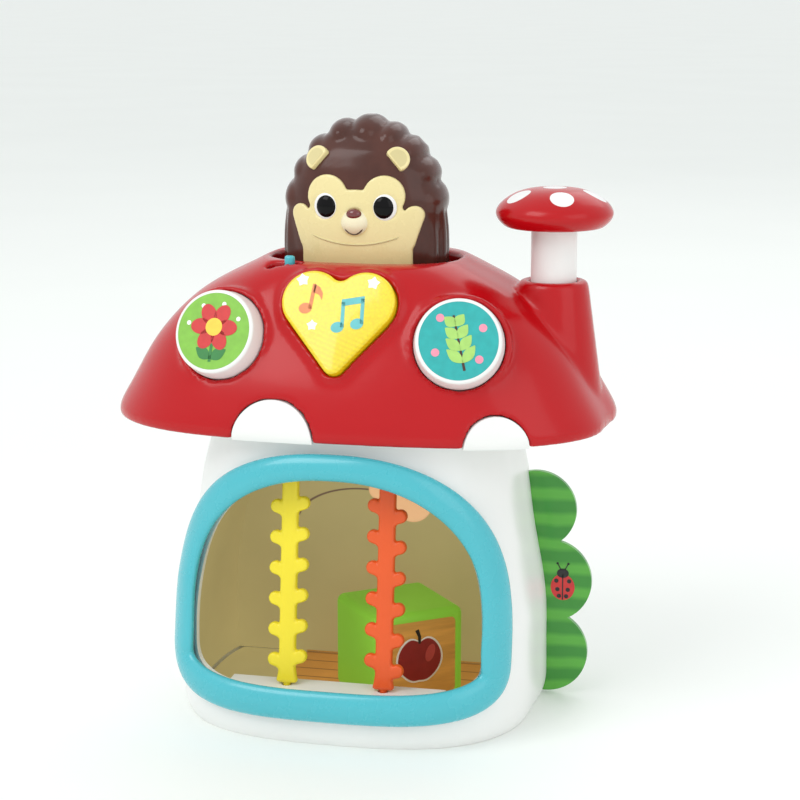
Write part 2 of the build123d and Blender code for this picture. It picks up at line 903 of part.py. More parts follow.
button_collar_radius = button_radius + slide_gap + collar_wall
heart_collar_extra = slide_gap + collar_wall
cap_floor = button_proud - button_length
board_top = board_thickness - collar_depth
board_extra = slide_gap - seat_gap


def round_collar():
    """Collar and sleeve of a round button, before its bore is cut."""
    return rounded_top(disc(button_collar_radius, 0, collar_depth), collar_edge_radius)


def heart_collar():
    """Collar and sleeve of the heart button, before its bore is cut."""
    return rounded_top(extrude(heart_outline(heart_collar_extra), amount=-collar_depth), collar_edge_radius)


def tower():
    """Tapered tower that the plunger stands in."""
    cone = Cone(
        tower_foot_radius, tower_top_radius, tower_rise - tower_foot_rise,
        align=(Align.CENTER, Align.CENTER, Align.MAX),
    )
    return Pos(plunger_offset, 0, tower_top) * rounded_top(cone, tower_edge_radius)


def tower_bushing():
    """Thick ring inside the tower that the plunger's stem runs in."""
    low = tower_top - bushing_length
    return post(plunger_offset, 0, low, tower_top - tower_edge_radius, tower_top_radius)


def tower_hollow():
    """Space inside the tower, below the plunger's bushing."""
    low = roof_bottom + tower_foot_rise
    high = tower_top - bushing_length
    share = (high - low) / (tower_top - low)
    high_radius = tower_foot_radius + share * (tower_top_radius - tower_foot_radius) - roof_wall
    low_radius = tower_foot_radius - roof_wall
    cone = Cone(low_radius, high_radius, high - low, align=(Align.CENTER, Align.CENTER, Align.MIN))
    return Pos(plunger_offset, 0, low) * cone


def latch_slot():
    """Slot in the tower's side that the latch reaches through."""
    half = latch_thickness / 2 + slide_gap
    return block_between((latch_pivot_offset, -half, roof_bottom), (plunger_offset, half, latch_slot_top))


def spot_rods(extra):
    """Round rods that mark the rim spots, at the front and again at the back."""
    front = rod(-front_spot_offset, roof_bottom, 0, -roof_depth, front_spot_radius + extra)
    side = rod(0, roof_bottom, 0, -roof_depth, side_spot_radius + extra)
    side = Pos(side_spot_offset, 0, 0) * Rot(0, 0, side_spot_angle) * side
    return [Rot(0, 0, end) * spot for end in (0, 180) for spot in (front, side)]


def roof_spots():
    """White half discs that fill arches in the rim."""
    return Compound([(roof_walls & spot).solid() for spot in spot_rods(-pin_gap)])


def switch_slot(extra):
    """Long round-ended slot of the switch."""
    outline = SlotOverall(switch_slot_length + extra * 2, switch_slot_width + extra * 2)
    return Pos(-switch_offset, -switch_forward, switch_pad_bottom) * extrude(outline, amount=roof_rise)


def roof_shell():
    """Dome with the tower, the button collars, the switch pad and the pop-up opening."""
    added = [tower(), tower_bushing()]
    sleeve_width = opening_width + opening_sleeve_wall * 2
    sleeve_depth = opening_depth + opening_sleeve_wall * 2
    sleeve = superoval(sleeve_width / 2, sleeve_depth / 2, opening_squareness_share)
    added.append(Pos(0, 0, roof_top - roof_wall / 2) * extrude(sleeve, amount=-opening_sleeve_length))
    lid = superoval(
        roof_levels[-1][1] - roof_wall / 2, roof_levels[-1][2] - roof_wall / 2, roof_squareness_share
    )
    added.append(Pos(0, 0, roof_top) * extrude(lid, amount=-roof_wall))
    added.append(switch_slot(switch_pad_margin) & roof_middle)
    for x, y in roof_boss_places:
        added.append(post(x, y, deck, roof_top, boss_radius) & roof_middle)
    for side in (1, -1):
        added.append(on_plane(button_plane(side), round_collar()))
    added.append(on_plane(heart_plane(), heart_collar()))
    shell = roof_walls + added
    cuts = [tower_hollow(), latch_slot(), switch_slot(0)]
    hole = superoval(opening_width / 2, opening_depth / 2, opening_squareness_share)
    cuts.append(Pos(0, 0, roof_bottom) * extrude(hole, amount=roof_rise * 2))
    cuts.append(post(plunger_offset, 0, roof_bottom, tower_top + overrun, stem_radius + slide_gap))
    for x, y in roof_boss_places:
        cuts.append(post(x, y, roof_bottom, deck + screw_length, screw_shank_radius + pin_gap))
    for side in (1, -1):
        bore = disc(button_radius + slide_gap, overrun, collar_depth * 2)
        cuts.append(on_plane(button_plane(side), bore))
    heart_bore = extrude(heart_outline(slide_gap), amount=-collar_depth - overrun - seat_gap)
    cuts.append(on_plane(heart_plane(), Pos(0, 0, overrun) * heart_bore))
    return shell - cuts - spot_rods(0)


def roof_base():
    """Plate under the roof that carries the guide, the latch and the screws."""
    half_width = roof_levels[0][1] - roof_wall - slide_gap * 2
    half_depth = roof_levels[0][2] - roof_wall - slide_gap * 2
    plate = extrude(superoval(half_width, half_depth, roof_squareness_share), amount=roof_base_thickness)
    plate = Pos(0, 0, house_height) * plate
    for x, y in roof_boss_places:
        plate = plate - post(x, y, 0, roof_top, screw_shank_radius + seat_gap)
        head_top = house_height + screw_head_height + seat_gap
        plate = plate - post(x, y, 0, head_top, screw_head_radius + seat_gap)
    for x, y in top_boss_places:
        plate = plate - post(x, y, 0, roof_top, screw_shank_radius + seat_gap)
    return plate


def button_cap():
    """Round button with tapering sides and a shallow seat for its picture."""
    skirt = disc(button_radius, 0, button_length - button_proud)
    top_radius = button_radius - button_taper
    crown = Cone(button_radius, top_radius, button_proud, align=(Align.CENTER, Align.CENTER, Align.MIN))
    cap = skirt + rounded_top(crown, button_edge_radius)
    return cap - disc(picture_radius, button_proud, picture_thickness)


def button_picture():
    """Printed disc in the button's seat."""
    return disc(picture_radius - pin_gap, button_proud, picture_thickness)


def rubber_dome():
    """Rubber spring between a button and its board."""
    height = cap_floor - board_top - seat_gap
    return Pos(0, 0, board_top) * Cone(
        dome_radius, dome_radius / 2, height, align=(Align.CENTER, Align.CENTER, Align.MIN)
    )


def heart_cap():
    """Heart button with softly rounded edges."""
    length = heart_proud - cap_floor
    return Pos(0, 0, heart_proud) * rounded_top(
        extrude(heart_outline(0), amount=-length), button_edge_radius
    )


def heart_dome():
    """Rubber spring under the heart button."""
    return Pos(0, -heart_lobe_offset, 0) * rubber_dome()


def heart_lamp():
    """Lamps under the heart's lobes."""
    lamp = Pos(0, 0, board_top) * Cylinder(
        lamp_radius, lamp_height, align=(Align.CENTER, Align.CENTER, Align.MIN)
    )
    return Compound([Pos(side * lamp_offset, 0, 0) * lamp for side in (1, -1)])


def switch_knob():
    """Thumb knob of the switch, in its slot."""
    knob = SlotOverall(switch_knob_length, switch_knob_width)
    length = switch_knob_top - switch_pad_bottom
    solid = rounded_top(extrude(knob, amount=length), switch_knob_width / 4)
    return Pos(-switch_offset + switch_knob_length / 2, -switch_forward, switch_pad_bottom) * solid


def switch_body():
    """Slide switch under its pad."""
    solid = extrude(SlotOverall(switch_body_length, switch_knob_width), amount=-switch_body_height)
    return Pos(-switch_offset - switch_body_shift, -switch_forward, switch_pad_bottom) * solid


# Hedgehog
hedgehog_outside = oval_loft(hedgehog_levels, hedgehog_squareness_share)
hedgehog_inside_levels = inset_levels(hedgehog_levels, hedgehog_wall)[:-4]
hedgehog_inside = oval_loft(
    [(hedgehog_bottom - overrun, hedgehog_inside_levels[0][1], hedgehog_inside_levels[0][2])]
    + hedgehog_inside_levels[1:],
    hedgehog_squareness_share,
)


def hedgehog_place(shares):
    """Place on the hedgehog's front, from shares of its width and height."""
    return hedgehog_width * shares[0], hedgehog_bottom + hedgehog_height * shares[1]


def on_face(shares, side, sink):
    """Point on the hedgehog's front surface, sunk a little into it."""
    x, z = hedgehog_place(shares)
    y = -front_at(hedgehog_levels, hedgehog_squareness_share, x, z) - face_proud + sink
    return Pos(side * x, y, z)


def face_outline():
    """Brows, cheeks, belly and raised arms, drawn as one outline."""
    brow_x, brow_z = hedgehog_place(brow_shares)
    cheek_z = hedgehog_bottom + hedgehog_height * cheek_share
    outline = Pos(0, cheek_z) * Ellipse(cheek_half_width, cheek_half_height)
    belly = Rectangle(belly_half_width * 2, cheek_z - hedgehog_bottom, align=(Align.CENTER, Align.MIN))
    outline = outline + Pos(0, hedgehog_bottom) * belly
    shoulder_x, shoulder_z = hedgehog_place(shoulder_shares)
    hand_x, hand_z = hedgehog_place(hand_shares)
    for side in (1, -1):
        outline = outline + Pos(side * brow_x, brow_z) * Circle(brow_radius)
        shoulder = (side * shoulder_x, shoulder_z)
        outline = outline + link(shoulder, arm_radius, (side * hand_x, hand_z), arm_radius)
    return outline


face_cutter = slab(face_outline(), -hedgehog_depth / 2 * face_back_share, -hedgehog_depth)


def ball(place, radius, flatten):
    """Round or flattened ball at a place."""
    return place * scale(Sphere(radius), by=(1, flatten, flatten))


def eye_balls(radius, sink):
    """Both eyes, as balls sunk into the face."""
    return [on_face(eye_shares, side, sink) * Sphere(radius) for side in (1, -1)]


def ear_balls(radius):
    """Both ears, as balls sunk into the coat."""
    return [on_face(ear_shares, side, ear_sink) * Sphere(radius) for side in (1, -1)]


def eye_room():
    """Space in front of the eyes' flat backs."""
    back = on_face(eye_shares, 1, eye_sink).position.Y
    return block_between(
        (-hedgehog_width, -hedgehog_depth, hedgehog_bottom),
        (hedgehog_width, back, hedgehog_bottom + hedgehog_height),
    )


def nose_ball():
    """Nose, as a flattened ball on the muzzle."""
    place = on_face((0, nose_share), 1, -nose_sink)
    return ball(place, nose_half_width, nose_flatten_share)


def hedgehog_face():
    """Cream front: face, muzzle, arms and belly."""
    proud = oval_loft(grown(hedgehog_levels, face_proud), hedgehog_squareness_share)
    face = (proud & face_cutter) - hedgehog_inside
    muzzle = ball(on_face((0, muzzle_share), 1, muzzle_sink), muzzle_radius, muzzle_flatten_share)
    face = face + (muzzle - hedgehog_inside)
    for white in eye_balls(eye_white_radius, eye_white_sink):
        face = face - white
    for eye in eye_balls(eye_radius, eye_sink):
        face = face - eye
    return face - nose_ball()


def hedgehog_back():
    """Brown coat, hollow inside, with seats for the ears and the face."""
    coat = hedgehog_outside - hedgehog_inside - face_cutter
    for ear in ear_balls(ear_radius + pin_gap):
        coat = coat - ear
    return coat


def hedgehog_ears():
    """Cream ears in the coat."""
    return Compound([(ear - hedgehog_inside - face_cutter).solid() for ear in ear_balls(ear_radius)])


def hedgehog_eye_whites():
    """White surrounds of the eyes."""
    eyes = eye_balls(eye_radius, eye_sink)
    whites = eye_balls(eye_white_radius, eye_white_sink)
    return Compound([((white - eye) & eye_room() & face_cutter).solid() for white, eye in zip(whites, eyes)])


def hedgehog_eyes():
    """Black domed eyes."""
    return Compound([(eye & eye_room()).solid() for eye in eye_balls(eye_radius, eye_sink)])


carriage_height = hedgehog_bottom + hedgehog_height * carriage_share
tube_radius = guide_radius + pin_gap + guide_wall


def hedgehog_carriage():
    """Plate across the hedgehog's inside, with a tube that runs on the guide post."""
    fit = oval_loft(grown(hedgehog_inside_levels, -seat_gap), hedgehog_squareness_share)
    plate = fit & block_between(
        (-hedgehog_width, -hedgehog_depth, carriage_height),
        (hedgehog_width, hedgehog_depth, carriage_height + carriage_thickness),
    )
    tube = post(0, 0, hedgehog_bottom, carriage_height, tube_radius)
    return plate + tube - post(0, 0, 0, carriage_height * 2, guide_radius + pin_gap)


def guide_post():
    """Upright post on the roof's plate that the hedgehog runs on."""
    return post(0, 0, deck, deck + guide_height, guide_radius)


def popup_spring():
    """Spring that lifts the hedgehog, drawn as the tube that its coils fill."""
    inner = tube_radius + slide_gap
    spring = post(0, 0, deck, carriage_height, inner + popup_spring_wall)
    return spring - post(0, 0, 0, carriage_height * 2, inner)


# Plunger
stem_bottom = tower_top - bushing_length - slide_gap - stem_flange
cap_bottom = tower_top + cap_gap


def cap_profile(inset):
    """Half section of the mushroom cap."""
    rim = cap_radius - inset
    top = cap_height - inset
    shoulder = cap_rim_rise + (top - cap_rim_rise) * cap_shoulder_shares[1]
    side = Spline(
        (rim - cap_rim_rise, inset), (rim, cap_rim_rise), (rim * cap_shoulder_shares[0], shoulder), (0, top),
        tangents=((1, 0), (-1, 0)),
        tangent_scalars=cap_tangent_shares,
    )
    return make_face(side + Polyline((0, top), (0, inset), (rim - cap_rim_rise, inset)))


def cap_solid(inset):
    """Mushroom cap turned from its half section."""
    turned = revolve(Plane.XZ * cap_profile(inset), axis=Axis.Z)
    return Pos(plunger_offset, 0, cap_bottom) * turned


def cap_spot_rods():
    """Rods that mark the spots of the mushroom cap: one on top and the others round it."""
    rods = [post(plunger_offset, 0, cap_bottom, cap_bottom + cap_height * 2, cap_spot_radius)]
    for index in range(cap_spot_count):
        turn = 360 / cap_spot_count * index
        spoke = Cylinder(cap_spot_radius, cap_radius * 2, align=(Align.CENTER, Align.CENTER, Align.MIN))
        place = Pos(plunger_offset, 0, cap_bottom) * Rot(0, 0, turn) * Rot(0, 90 - cap_spot_tilt_angle, 0)
        rods.append(place * spoke)
    return rods


def plunger_spots():
    """White spots let into the cap."""
    skin = cap_solid(0) - cap_solid(cap_spot_depth)
    return Compound([(skin & spot).solids().sort_by(Axis.Z)[-1] for spot in cap_spot_rods()])


def plunger_cap():
    """Red mushroom cap on the stem."""
    cap = cap_solid(0)
    skin = cap - cap_solid(cap_spot_depth)
    for spot in cap_spot_rods():
        cap = cap - (skin & spot)
    return cap - post(plunger_offset, 0, 0, cap_bottom + cap_rim_rise, stem_radius + pin_gap)


def plunger_stem():
    """White stem, flanged below so that it can't come out."""
    stem = post(plunger_offset, 0, stem_bottom, cap_bottom + cap_rim_rise, stem_radius)
    flange = post(plunger_offset, 0, stem_bottom, stem_bottom + stem_flange, stem_radius + stem_flange)
    low = stem_bottom + stem_flange
    high = cap_bottom + cap_rim_rise - stem_flange
    return stem + flange - post(plunger_offset, 0, low, high, stem_radius - stem_wall)


# Latch
latch_drop = plunger_travel / 2
latch_pivot_height = stem_bottom - slide_gap - latch_nose_radius - latch_drop
latch_rest_angle = degrees(asin(latch_drop / latch_arm_length))


def latch_lever():
    """Bell crank: one cranked arm under the plunger, the other beside the hedgehog."""
    rest = radians(latch_rest_angle)
    nose = (latch_arm_length * cos(rest), latch_arm_length * sin(rest))
    hook = (-latch_lead, latch_reach)
    elbow = (latch_elbow_reach, 0)
    outline = link((0, 0), latch_hub_radius, elbow, latch_nose_radius)
    outline = outline + link(elbow, latch_nose_radius, nose, latch_nose_radius)
    outline = outline + link((0, 0), latch_hub_radius, hook, latch_nose_radius)
    outline = outline - Circle(latch_pin_radius + pin_gap)
    place = Pos(latch_pivot_offset, latch_pivot_height)
    return slab(place * outline, latch_thickness / 2, -latch_thickness / 2)


ear_gap = latch_thickness / 2 + latch_spring_length + slide_gap * 2


def latch_pin():
    """Pivot pin of the latch."""
    reach = ear_gap + bracket_wall
    return rod(latch_pivot_offset, latch_pivot_height, reach, -reach, latch_pin_radius)


def latch_bracket():
    """Two ears on a foot, on the roof's plate."""
    ear = Pos(latch_pivot_offset, latch_pivot_height) * Circle(latch_hub_radius)
    leg = Pos(latch_pivot_offset, deck) * Rectangle(
        latch_hub_radius * 2, latch_pivot_height - deck, align=(Align.CENTER, Align.MIN)
    )
    reach = ear_gap + bracket_wall
    ears = slab(ear + leg, reach, -reach) - slab(
        Pos(latch_pivot_offset, deck + bracket_foot) * Rectangle(
            latch_hub_radius * 4, roof_rise, align=(Align.CENTER, Align.MIN)
        ), ear_gap, -ear_gap,
    )
    bore_radius = latch_pin_radius + pin_gap
    return ears - rod(latch_pivot_offset, latch_pivot_height, house_depth, -house_depth, bore_radius)


def latch_spring():
    """Torsion spring beside the lever, drawn as the ring that its turns fill."""
    inner = latch_pin_radius + slide_gap
    back = latch_thickness / 2 + slide_gap + latch_spring_length
    front = latch_thickness / 2 + slide_gap
    ring = rod(latch_pivot_offset, latch_pivot_height, back, front, inner + latch_spring_wall)
    return ring - rod(latch_pivot_offset, latch_pivot_height, back, front, inner)


# Loose block
def block_place():
    """Where the loose block stands on the floor, turned to show its picture."""
    middle = floor_top + pin_gap + block_size / 2
    return Pos(block_offset, -block_forward, middle) * Rot(0, 0, block_turn_angle)


def block_seats(depth, extra):
    """Shallow seats for the pictures on two opposite faces."""
    size = block_panel_size + extra * 2
    back = -block_size / 2 + block_panel_depth
    front = slab(RectangleRounded(size, size, block_panel_corner), back, back - depth)
    return [Rot(0, 0, turn) * front for turn in (0, 180)]


def block_body():
    """Rounded cube with a sunk panel on two faces."""
    cube = Box(block_size, block_size, block_size)
    cube = fillet(cube.edges(), block_edge_radius)
    for seat in block_seats(block_panel_depth + overrun, pin_gap):
        cube = cube - seat
    return block_place() * cube


def block_panels():
    """Printed panels in the block's seats."""
    return Compound([block_place() * seat for seat in block_seats(block_panel_thickness, 0)])


# Every piece under the name of its file
pieces = {
    "house_front_shell": house_front_shell(),
    "rear_cover": rear_cover(),
    "base_plate": base_plate(),
    "floor_board": floor_board(),
    "room_liner": room_liner(),
    "window_ring": window_ring(),
    "yellow_vine": vine(-1, yellow_first_leaf, yellow_leaf_step),
    "orange_vine": vine(1, orange_first_leaf, orange_leaf_step),
    "bush_plate": bush_plate(),
    "base_screws": screw_group(base_boss_places, screw_head_height + seat_gap, True),
    "top_screws": screw_group(top_boss_places, deck, False),
    "roof_shell": roof_shell(),
    "roof_base": roof_base(),
    "roof_spots": roof_spots(),
    "roof_screws": screw_group(roof_boss_places, house_height + screw_head_height + seat_gap, True),
    "heart_button_cap": on_plane(heart_plane(), heart_cap()),
    "heart_button_dome": on_plane(heart_plane(), heart_dome()),
    "heart_button_board": on_plane(
        heart_plane(),
        Pos(0, 0, board_top) * extrude(heart_outline(board_extra), amount=-board_thickness),
    ),
    "heart_lamp": on_plane(heart_plane(), heart_lamp()),
    "switch_knob": switch_knob(),
    "switch_body": switch_body(),
    "hedgehog_back": hedgehog_back(),
    "hedgehog_face": hedgehog_face(),
    "hedgehog_ears": hedgehog_ears(),
    "hedgehog_eyes": hedgehog_eyes(),
    "hedgehog_eye_whites": hedgehog_eye_whites(),
    "hedgehog_nose": nose_ball(),
    "hedgehog_carriage": hedgehog_carriage(),
    "guide_post": guide_post(),
    "popup_spring": popup_spring(),
    "plunger_cap": plunger_cap(),
    "plunger_spots": plunger_spots(),
    "plunger_stem": plunger_stem(),
    "latch_lever": latch_lever(),
    "latch_pin": latch_pin(),
    "latch_bracket": latch_bracket(),
    "latch_spring": latch_spring(),
    "block_body": block_body(),
    "block_panels": block_panels(),
    "battery_box": battery_box(),
    "batteries": batteries(),
    "battery_contacts": battery_contacts(),
    "battery_door": battery_door(),
    "battery_door_screw": battery_door_screw(),
    "main_board": main_board(),
    "speaker": speaker(),
}
for name, side in (("left", -1), ("right", 1)):
    plane = button_plane(side)
    pieces[name + "_button_cap"] = on_plane(plane, button_cap())
    pieces[name + "_button_picture"] = on_plane(plane, button_picture())
    pieces[name + "_button_dome"] = on_plane(plane, rubber_dome())
    board = disc(button_radius + board_extra, board_top, board_thickness)
    pieces[name + "_button_board"] = on_plane(plane, board)

os.makedirs("parts", exist_ok=True)
for name, piece in pieces.items():
    export_step(piece, "parts/" + name + ".step")
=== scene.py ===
import math

import bmesh
import bpy
from bpy.props import FloatProperty, FloatVectorProperty, IntProperty, PointerProperty
from mathutils import Matrix, Vector


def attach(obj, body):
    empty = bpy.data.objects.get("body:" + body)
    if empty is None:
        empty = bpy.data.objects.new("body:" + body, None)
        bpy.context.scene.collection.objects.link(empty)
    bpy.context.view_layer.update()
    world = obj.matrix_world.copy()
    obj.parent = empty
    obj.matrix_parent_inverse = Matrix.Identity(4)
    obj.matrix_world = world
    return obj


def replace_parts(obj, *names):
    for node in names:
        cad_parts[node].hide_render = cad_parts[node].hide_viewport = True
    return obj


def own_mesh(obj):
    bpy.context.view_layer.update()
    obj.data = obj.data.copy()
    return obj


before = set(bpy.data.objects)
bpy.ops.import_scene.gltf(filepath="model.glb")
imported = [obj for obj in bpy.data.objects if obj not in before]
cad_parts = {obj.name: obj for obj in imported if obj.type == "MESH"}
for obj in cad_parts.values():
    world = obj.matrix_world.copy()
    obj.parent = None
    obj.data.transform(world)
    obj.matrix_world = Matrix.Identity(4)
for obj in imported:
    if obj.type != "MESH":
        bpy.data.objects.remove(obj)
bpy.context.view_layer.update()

bl_info = {
    "name": "Mushroom House Toy",
    "version": (1, 0, 0),
    "blender": (4, 5, 0),
    "location": "3D View > Sidebar > Toy",
    "description": "Dresses a pop-up mushroom house with soft mouldings, prints and studio light",
    "category": "Object",
}

MM = 0.001


def screen(red, green, blue):
    """Linear colour from screen values of 0 to 255."""
    values = []
    for part in (red, green, blue):
        share = part / 255
        values.append(share / 12.92 if share <= 0.04045 else ((share + 0.055) / 1.055) ** 2.4)
    return tuple(values)


def shaded(colour, share):
    """A colour made darker or lighter."""
    return tuple(part * share for part in colour)


def colour_property(title, words, value):
    """Colour property of the palette."""
    return FloatVectorProperty(
        name=title, description=words, subtype="COLOR", size=3, min=0.0, max=1.0, default=value
    )


def length_property(title, words, value):
    """Length property in metres."""
    return FloatProperty(name=title, description=words, subtype="DISTANCE", unit="LENGTH", default=value)


class ToyPalette(bpy.types.PropertyGroup):
    """Colours of the toy's plastics and prints."""

    roof_red: colour_property("Roof red", "Glossy red of the roof and the cap", screen(184, 6, 16))
    wall_white: colour_property("Wall white", "White of walls, spots and buttons", screen(238, 238, 236))
    ring_blue: colour_property("Ring blue", "Turquoise of the ring and the switch", screen(70, 182, 195))
    vine_yellow: colour_property("Vine yellow", "Soft yellow vine", screen(238, 218, 40))
    vine_orange: colour_property("Vine orange", "Soft orange vine", screen(228, 86, 22))
    block_green: colour_property("Block green", "Loose block", screen(122, 182, 55))
    panel_ochre: colour_property("Panel ochre", "Printed wood on the block", screen(186, 136, 62))
    room_olive: colour_property("Room olive", "Printed lining of the room", screen(160, 148, 102))
    room_plank: colour_property("Room plank", "Printed boards along the floor", screen(176, 122, 56))
    bush_dark: colour_property("Bush dark", "Darker bands of the bush", screen(52, 138, 42))
    bush_light: colour_property("Bush light", "Lighter bands of the bush", screen(86, 170, 56))
    coat_brown: colour_property("Coat brown", "Glossy coat of the hedgehog", screen(82, 47, 39))
    face_cream: colour_property("Face cream", "Face, ears and arms of the hedgehog", screen(233, 218, 158))
    heart_yellow: colour_property("Heart yellow", "Lit heart button", screen(240, 214, 24))
    note_orange: colour_property("Note orange", "Single note on the heart", screen(226, 134, 78))
    note_blue: colour_property("Note blue", "Double note on the heart", screen(88, 186, 190))
    disc_green: colour_property("Disc green", "Left picture's ground", screen(128, 190, 62))
    disc_teal: colour_property("Disc teal", "Right picture's ground", screen(40, 172, 170))
    floor_pale: colour_property("Floor", "Pale studio floor", screen(250, 253, 249))


class ToySizes(bpy.types.PropertyGroup):
    """Sizes of what the scene adds to the solids."""

    ring_width: length_property("Ring width", "Width of the window ring", 15.0 * MM)
    ring_depth: length_property("Ring depth", "How far the window ring stands proud", 7.2 * MM)
    leaf_pitch: length_property("Leaf pitch", "Distance between pairs of leaves", 14.7 * MM)
    leaf_count: IntProperty(name="Leaf pairs", description="Leaves on each side of a vine", default=6, min=1)
    coat_inset: length_property("Coat inset", "How far the coat lies below its locks", 3.4 * MM)
    coat_voxel: length_property("Coat grain", "Cell size of the softened coat", 0.9 * MM)
    lock_seed: IntProperty(name="Lock seed", description="Seed of the locks' small differences", default=7)
    print_lift: length_property("Print lift", "Thickness of a print on its ground", 0.12 * MM)
    roof_voxel: length_property("Roof grain", "Cell size of the softened roof", 1.36 * MM)


class StageSizes(bpy.types.PropertyGroup):
    """Camera and studio light."""

    camera_place: FloatVectorProperty(
        name="Camera place", description="Where the camera stands", subtype="TRANSLATION", size=3,
        default=(0.2274, -0.9430, 0.3564),
    )
    camera_aim: FloatVectorProperty(
        name="Camera aim", description="Direction that the camera looks in", subtype="DIRECTION", size=3,
        default=(-0.21335, 0.95449, -0.20843),
    )
    lens: FloatProperty(name="Lens", description="Focal length in millimetres", default=90.7)
    key_power: FloatProperty(name="Key power", description="Watts of the main light", default=15.0)
    fill_power: FloatProperty(name="Fill power", description="Watts of the fill light", default=5.0)
    rim_power: FloatProperty(name="Rim power", description="Watts of the light from behind", default=4.0)
    backdrop: FloatProperty(name="Backdrop", description="Brightness seen behind the toy", default=0.98)
    sky: FloatProperty(name="Sky", description="Strength of the even light all round", default=0.86)


def palette():
    return bpy.context.scene.toy_palette


def sizes():
    return bpy.context.scene.toy_sizes


def stage_sizes():
    return bpy.context.scene.toy_stage


class Paint:
    """Builds one procedural material, layer on layer."""

    def __init__(self, name):
        self.material = bpy.data.materials.new(name)
        self.material.use_nodes = True
        self.tree = self.material.node_tree
        self.shader = self.tree.nodes["Principled BSDF"]
        self.coordinates = self.node("ShaderNodeTexCoord").outputs["Object"]
        self.parts = None

    def node(self, kind):
        return self.tree.nodes.new(kind)

    def join(self, source, target):
        self.tree.links.new(source, target)

    def axis(self, letter):
        """Object coordinate along one axis, in metres."""
        if self.parts is None:
            self.parts = self.node("ShaderNodeSeparateXYZ")
            self.join(self.coordinates, self.parts.inputs[0])
        return self.parts.outputs[letter]

    def sum(self, operation, first, second=None, third=None, clamp=False):
        """One step of arithmetic on sockets or numbers."""
        step = self.node("ShaderNodeMath")
        step.operation = operation
        step.use_clamp = clamp
        for socket, value in zip(step.inputs, (first, second, third)):
            if value is None:
                continue
            if isinstance(value, (int, float)):
                socket.default_value = value
            else:
                self.join(value, socket)
        return step.outputs[0]

    def noise(self, scale, detail=3.0, stretch=None, roughness=0.5):
        """Cloudy pattern from 0 to 1."""
        texture = self.node("ShaderNodeTexNoise")
        texture.inputs["Scale"].default_value = scale
        texture.inputs["Detail"].default_value = detail
        texture.inputs["Roughness"].default_value = roughness
        if stretch is None:
            self.join(self.coordinates, texture.inputs["Vector"])
        else:
            mapping = self.node("ShaderNodeMapping")
            mapping.inputs["Scale"].default_value = stretch
            self.join(self.coordinates, mapping.inputs["Vector"])
            self.join(mapping.outputs[0], texture.inputs["Vector"])
        return texture.outputs["Fac"]

    def ramp(self, source, low, high, low_at=0.3, high_at=0.7):
        """Colours between two tones along a pattern."""
        ramp = self.node("ShaderNodeValToRGB")
        ramp.color_ramp.elements[0].position = low_at
        ramp.color_ramp.elements[0].color = (*low, 1.0)
        ramp.color_ramp.elements[1].position = high_at
        ramp.color_ramp.elements[1].color = (*high, 1.0)
        self.join(source, ramp.inputs["Fac"])
        return ramp.outputs["Color"]

    def step(self, value, edge, soft):
        """0 below an edge, 1 above it."""
        ranged = self.node("ShaderNodeMapRange")
        ranged.interpolation_type = "SMOOTHSTEP"
        ranged.inputs["From Min"].default_value = edge - soft
        ranged.inputs["From Max"].default_value = edge + soft
        self.join(value, ranged.inputs["Value"])
        return ranged.outputs["Result"]

    def over(self, ground, colour, mask):
        """A colour laid over a ground where a mask is 1."""
        mix = self.node("ShaderNodeMix")
        mix.data_type = "RGBA"
        self.join(mask, mix.inputs["Factor"])
        self.join(ground, mix.inputs["A"])
        if isinstance(colour, tuple):
            mix.inputs["B"].default_value = (*colour, 1.0)
        else:
            self.join(colour, mix.inputs["B"])
        return mix.outputs["Result"]

    def unless(self, mask):
        """What a mask leaves out."""
        return self.sum("SUBTRACT", 1.0, mask)

    def distance(self, first, second):
        """Length of two lengths taken square to each other."""
        squares = [self.sum("MULTIPLY", part, part) for part in (first, second)]
        return self.sum("SQRT", self.sum("ADD", *squares))

    def mottled(self, colour, spread, scale):
        """A tone that drifts a little over the surface."""
        high = tuple(min(1.0, part) for part in shaded(colour, 1 + spread))
        return self.ramp(self.noise(scale), shaded(colour, 1 - spread), high)

    def lit(self, colour, strength):
        """Lets a colour glow by itself."""
        self.join(colour, self.shader.inputs["Emission Color"])
        self.shader.inputs["Emission Strength"].default_value = strength

    def finish(self, colour, roughness, wander=0.05, grain=0.06, grain_scale=900.0, coat=0.0):
        """Joins colour, roughness and grain to the shader."""
        self.join(colour, self.shader.inputs["Base Color"])
        ranged = self.node("ShaderNodeMapRange")
        ranged.inputs["To Min"].default_value = max(0.02, roughness - wander)
        ranged.inputs["To Max"].default_value = roughness + wander
        self.join(self.noise(140.0, 4.0), ranged.inputs["Value"])
        self.join(ranged.outputs["Result"], self.shader.inputs["Roughness"])
        bump = self.node("ShaderNodeBump")
        bump.inputs["Strength"].default_value = grain
        bump.inputs["Distance"].default_value = 0.0004
        self.join(self.noise(grain_scale, 2.0), bump.inputs["Height"])
        self.join(bump.outputs[0], self.shader.inputs["Normal"])
        self.shader.inputs["Coat Weight"].default_value = coat
        self.shader.inputs["Coat Roughness"].default_value = 0.06
        return self.material


def moulded(name, colour, roughness=0.28, spread=0.03, coat=0.35, grain=0.05, gloss=0.5, glow=0.0):
    """Plain moulded plastic with a faint drift of tone and a fine grain."""
    paint = Paint(name)
    ground = paint.mottled(tuple(colour), spread, 22.0)
    paint.shader.inputs["Specular IOR Level"].default_value = gloss
    if glow:
        paint.lit(ground, glow)
    return paint.finish(ground, roughness, grain=grain, coat=coat)


def printed(name, colour):
    """Flat printing ink with a slight screen of dots."""
    paint = Paint(name)
    ink = paint.mottled(tuple(colour), 0.07, 260.0)
    return paint.finish(ink, 0.38, grain=0.03, coat=0.15)


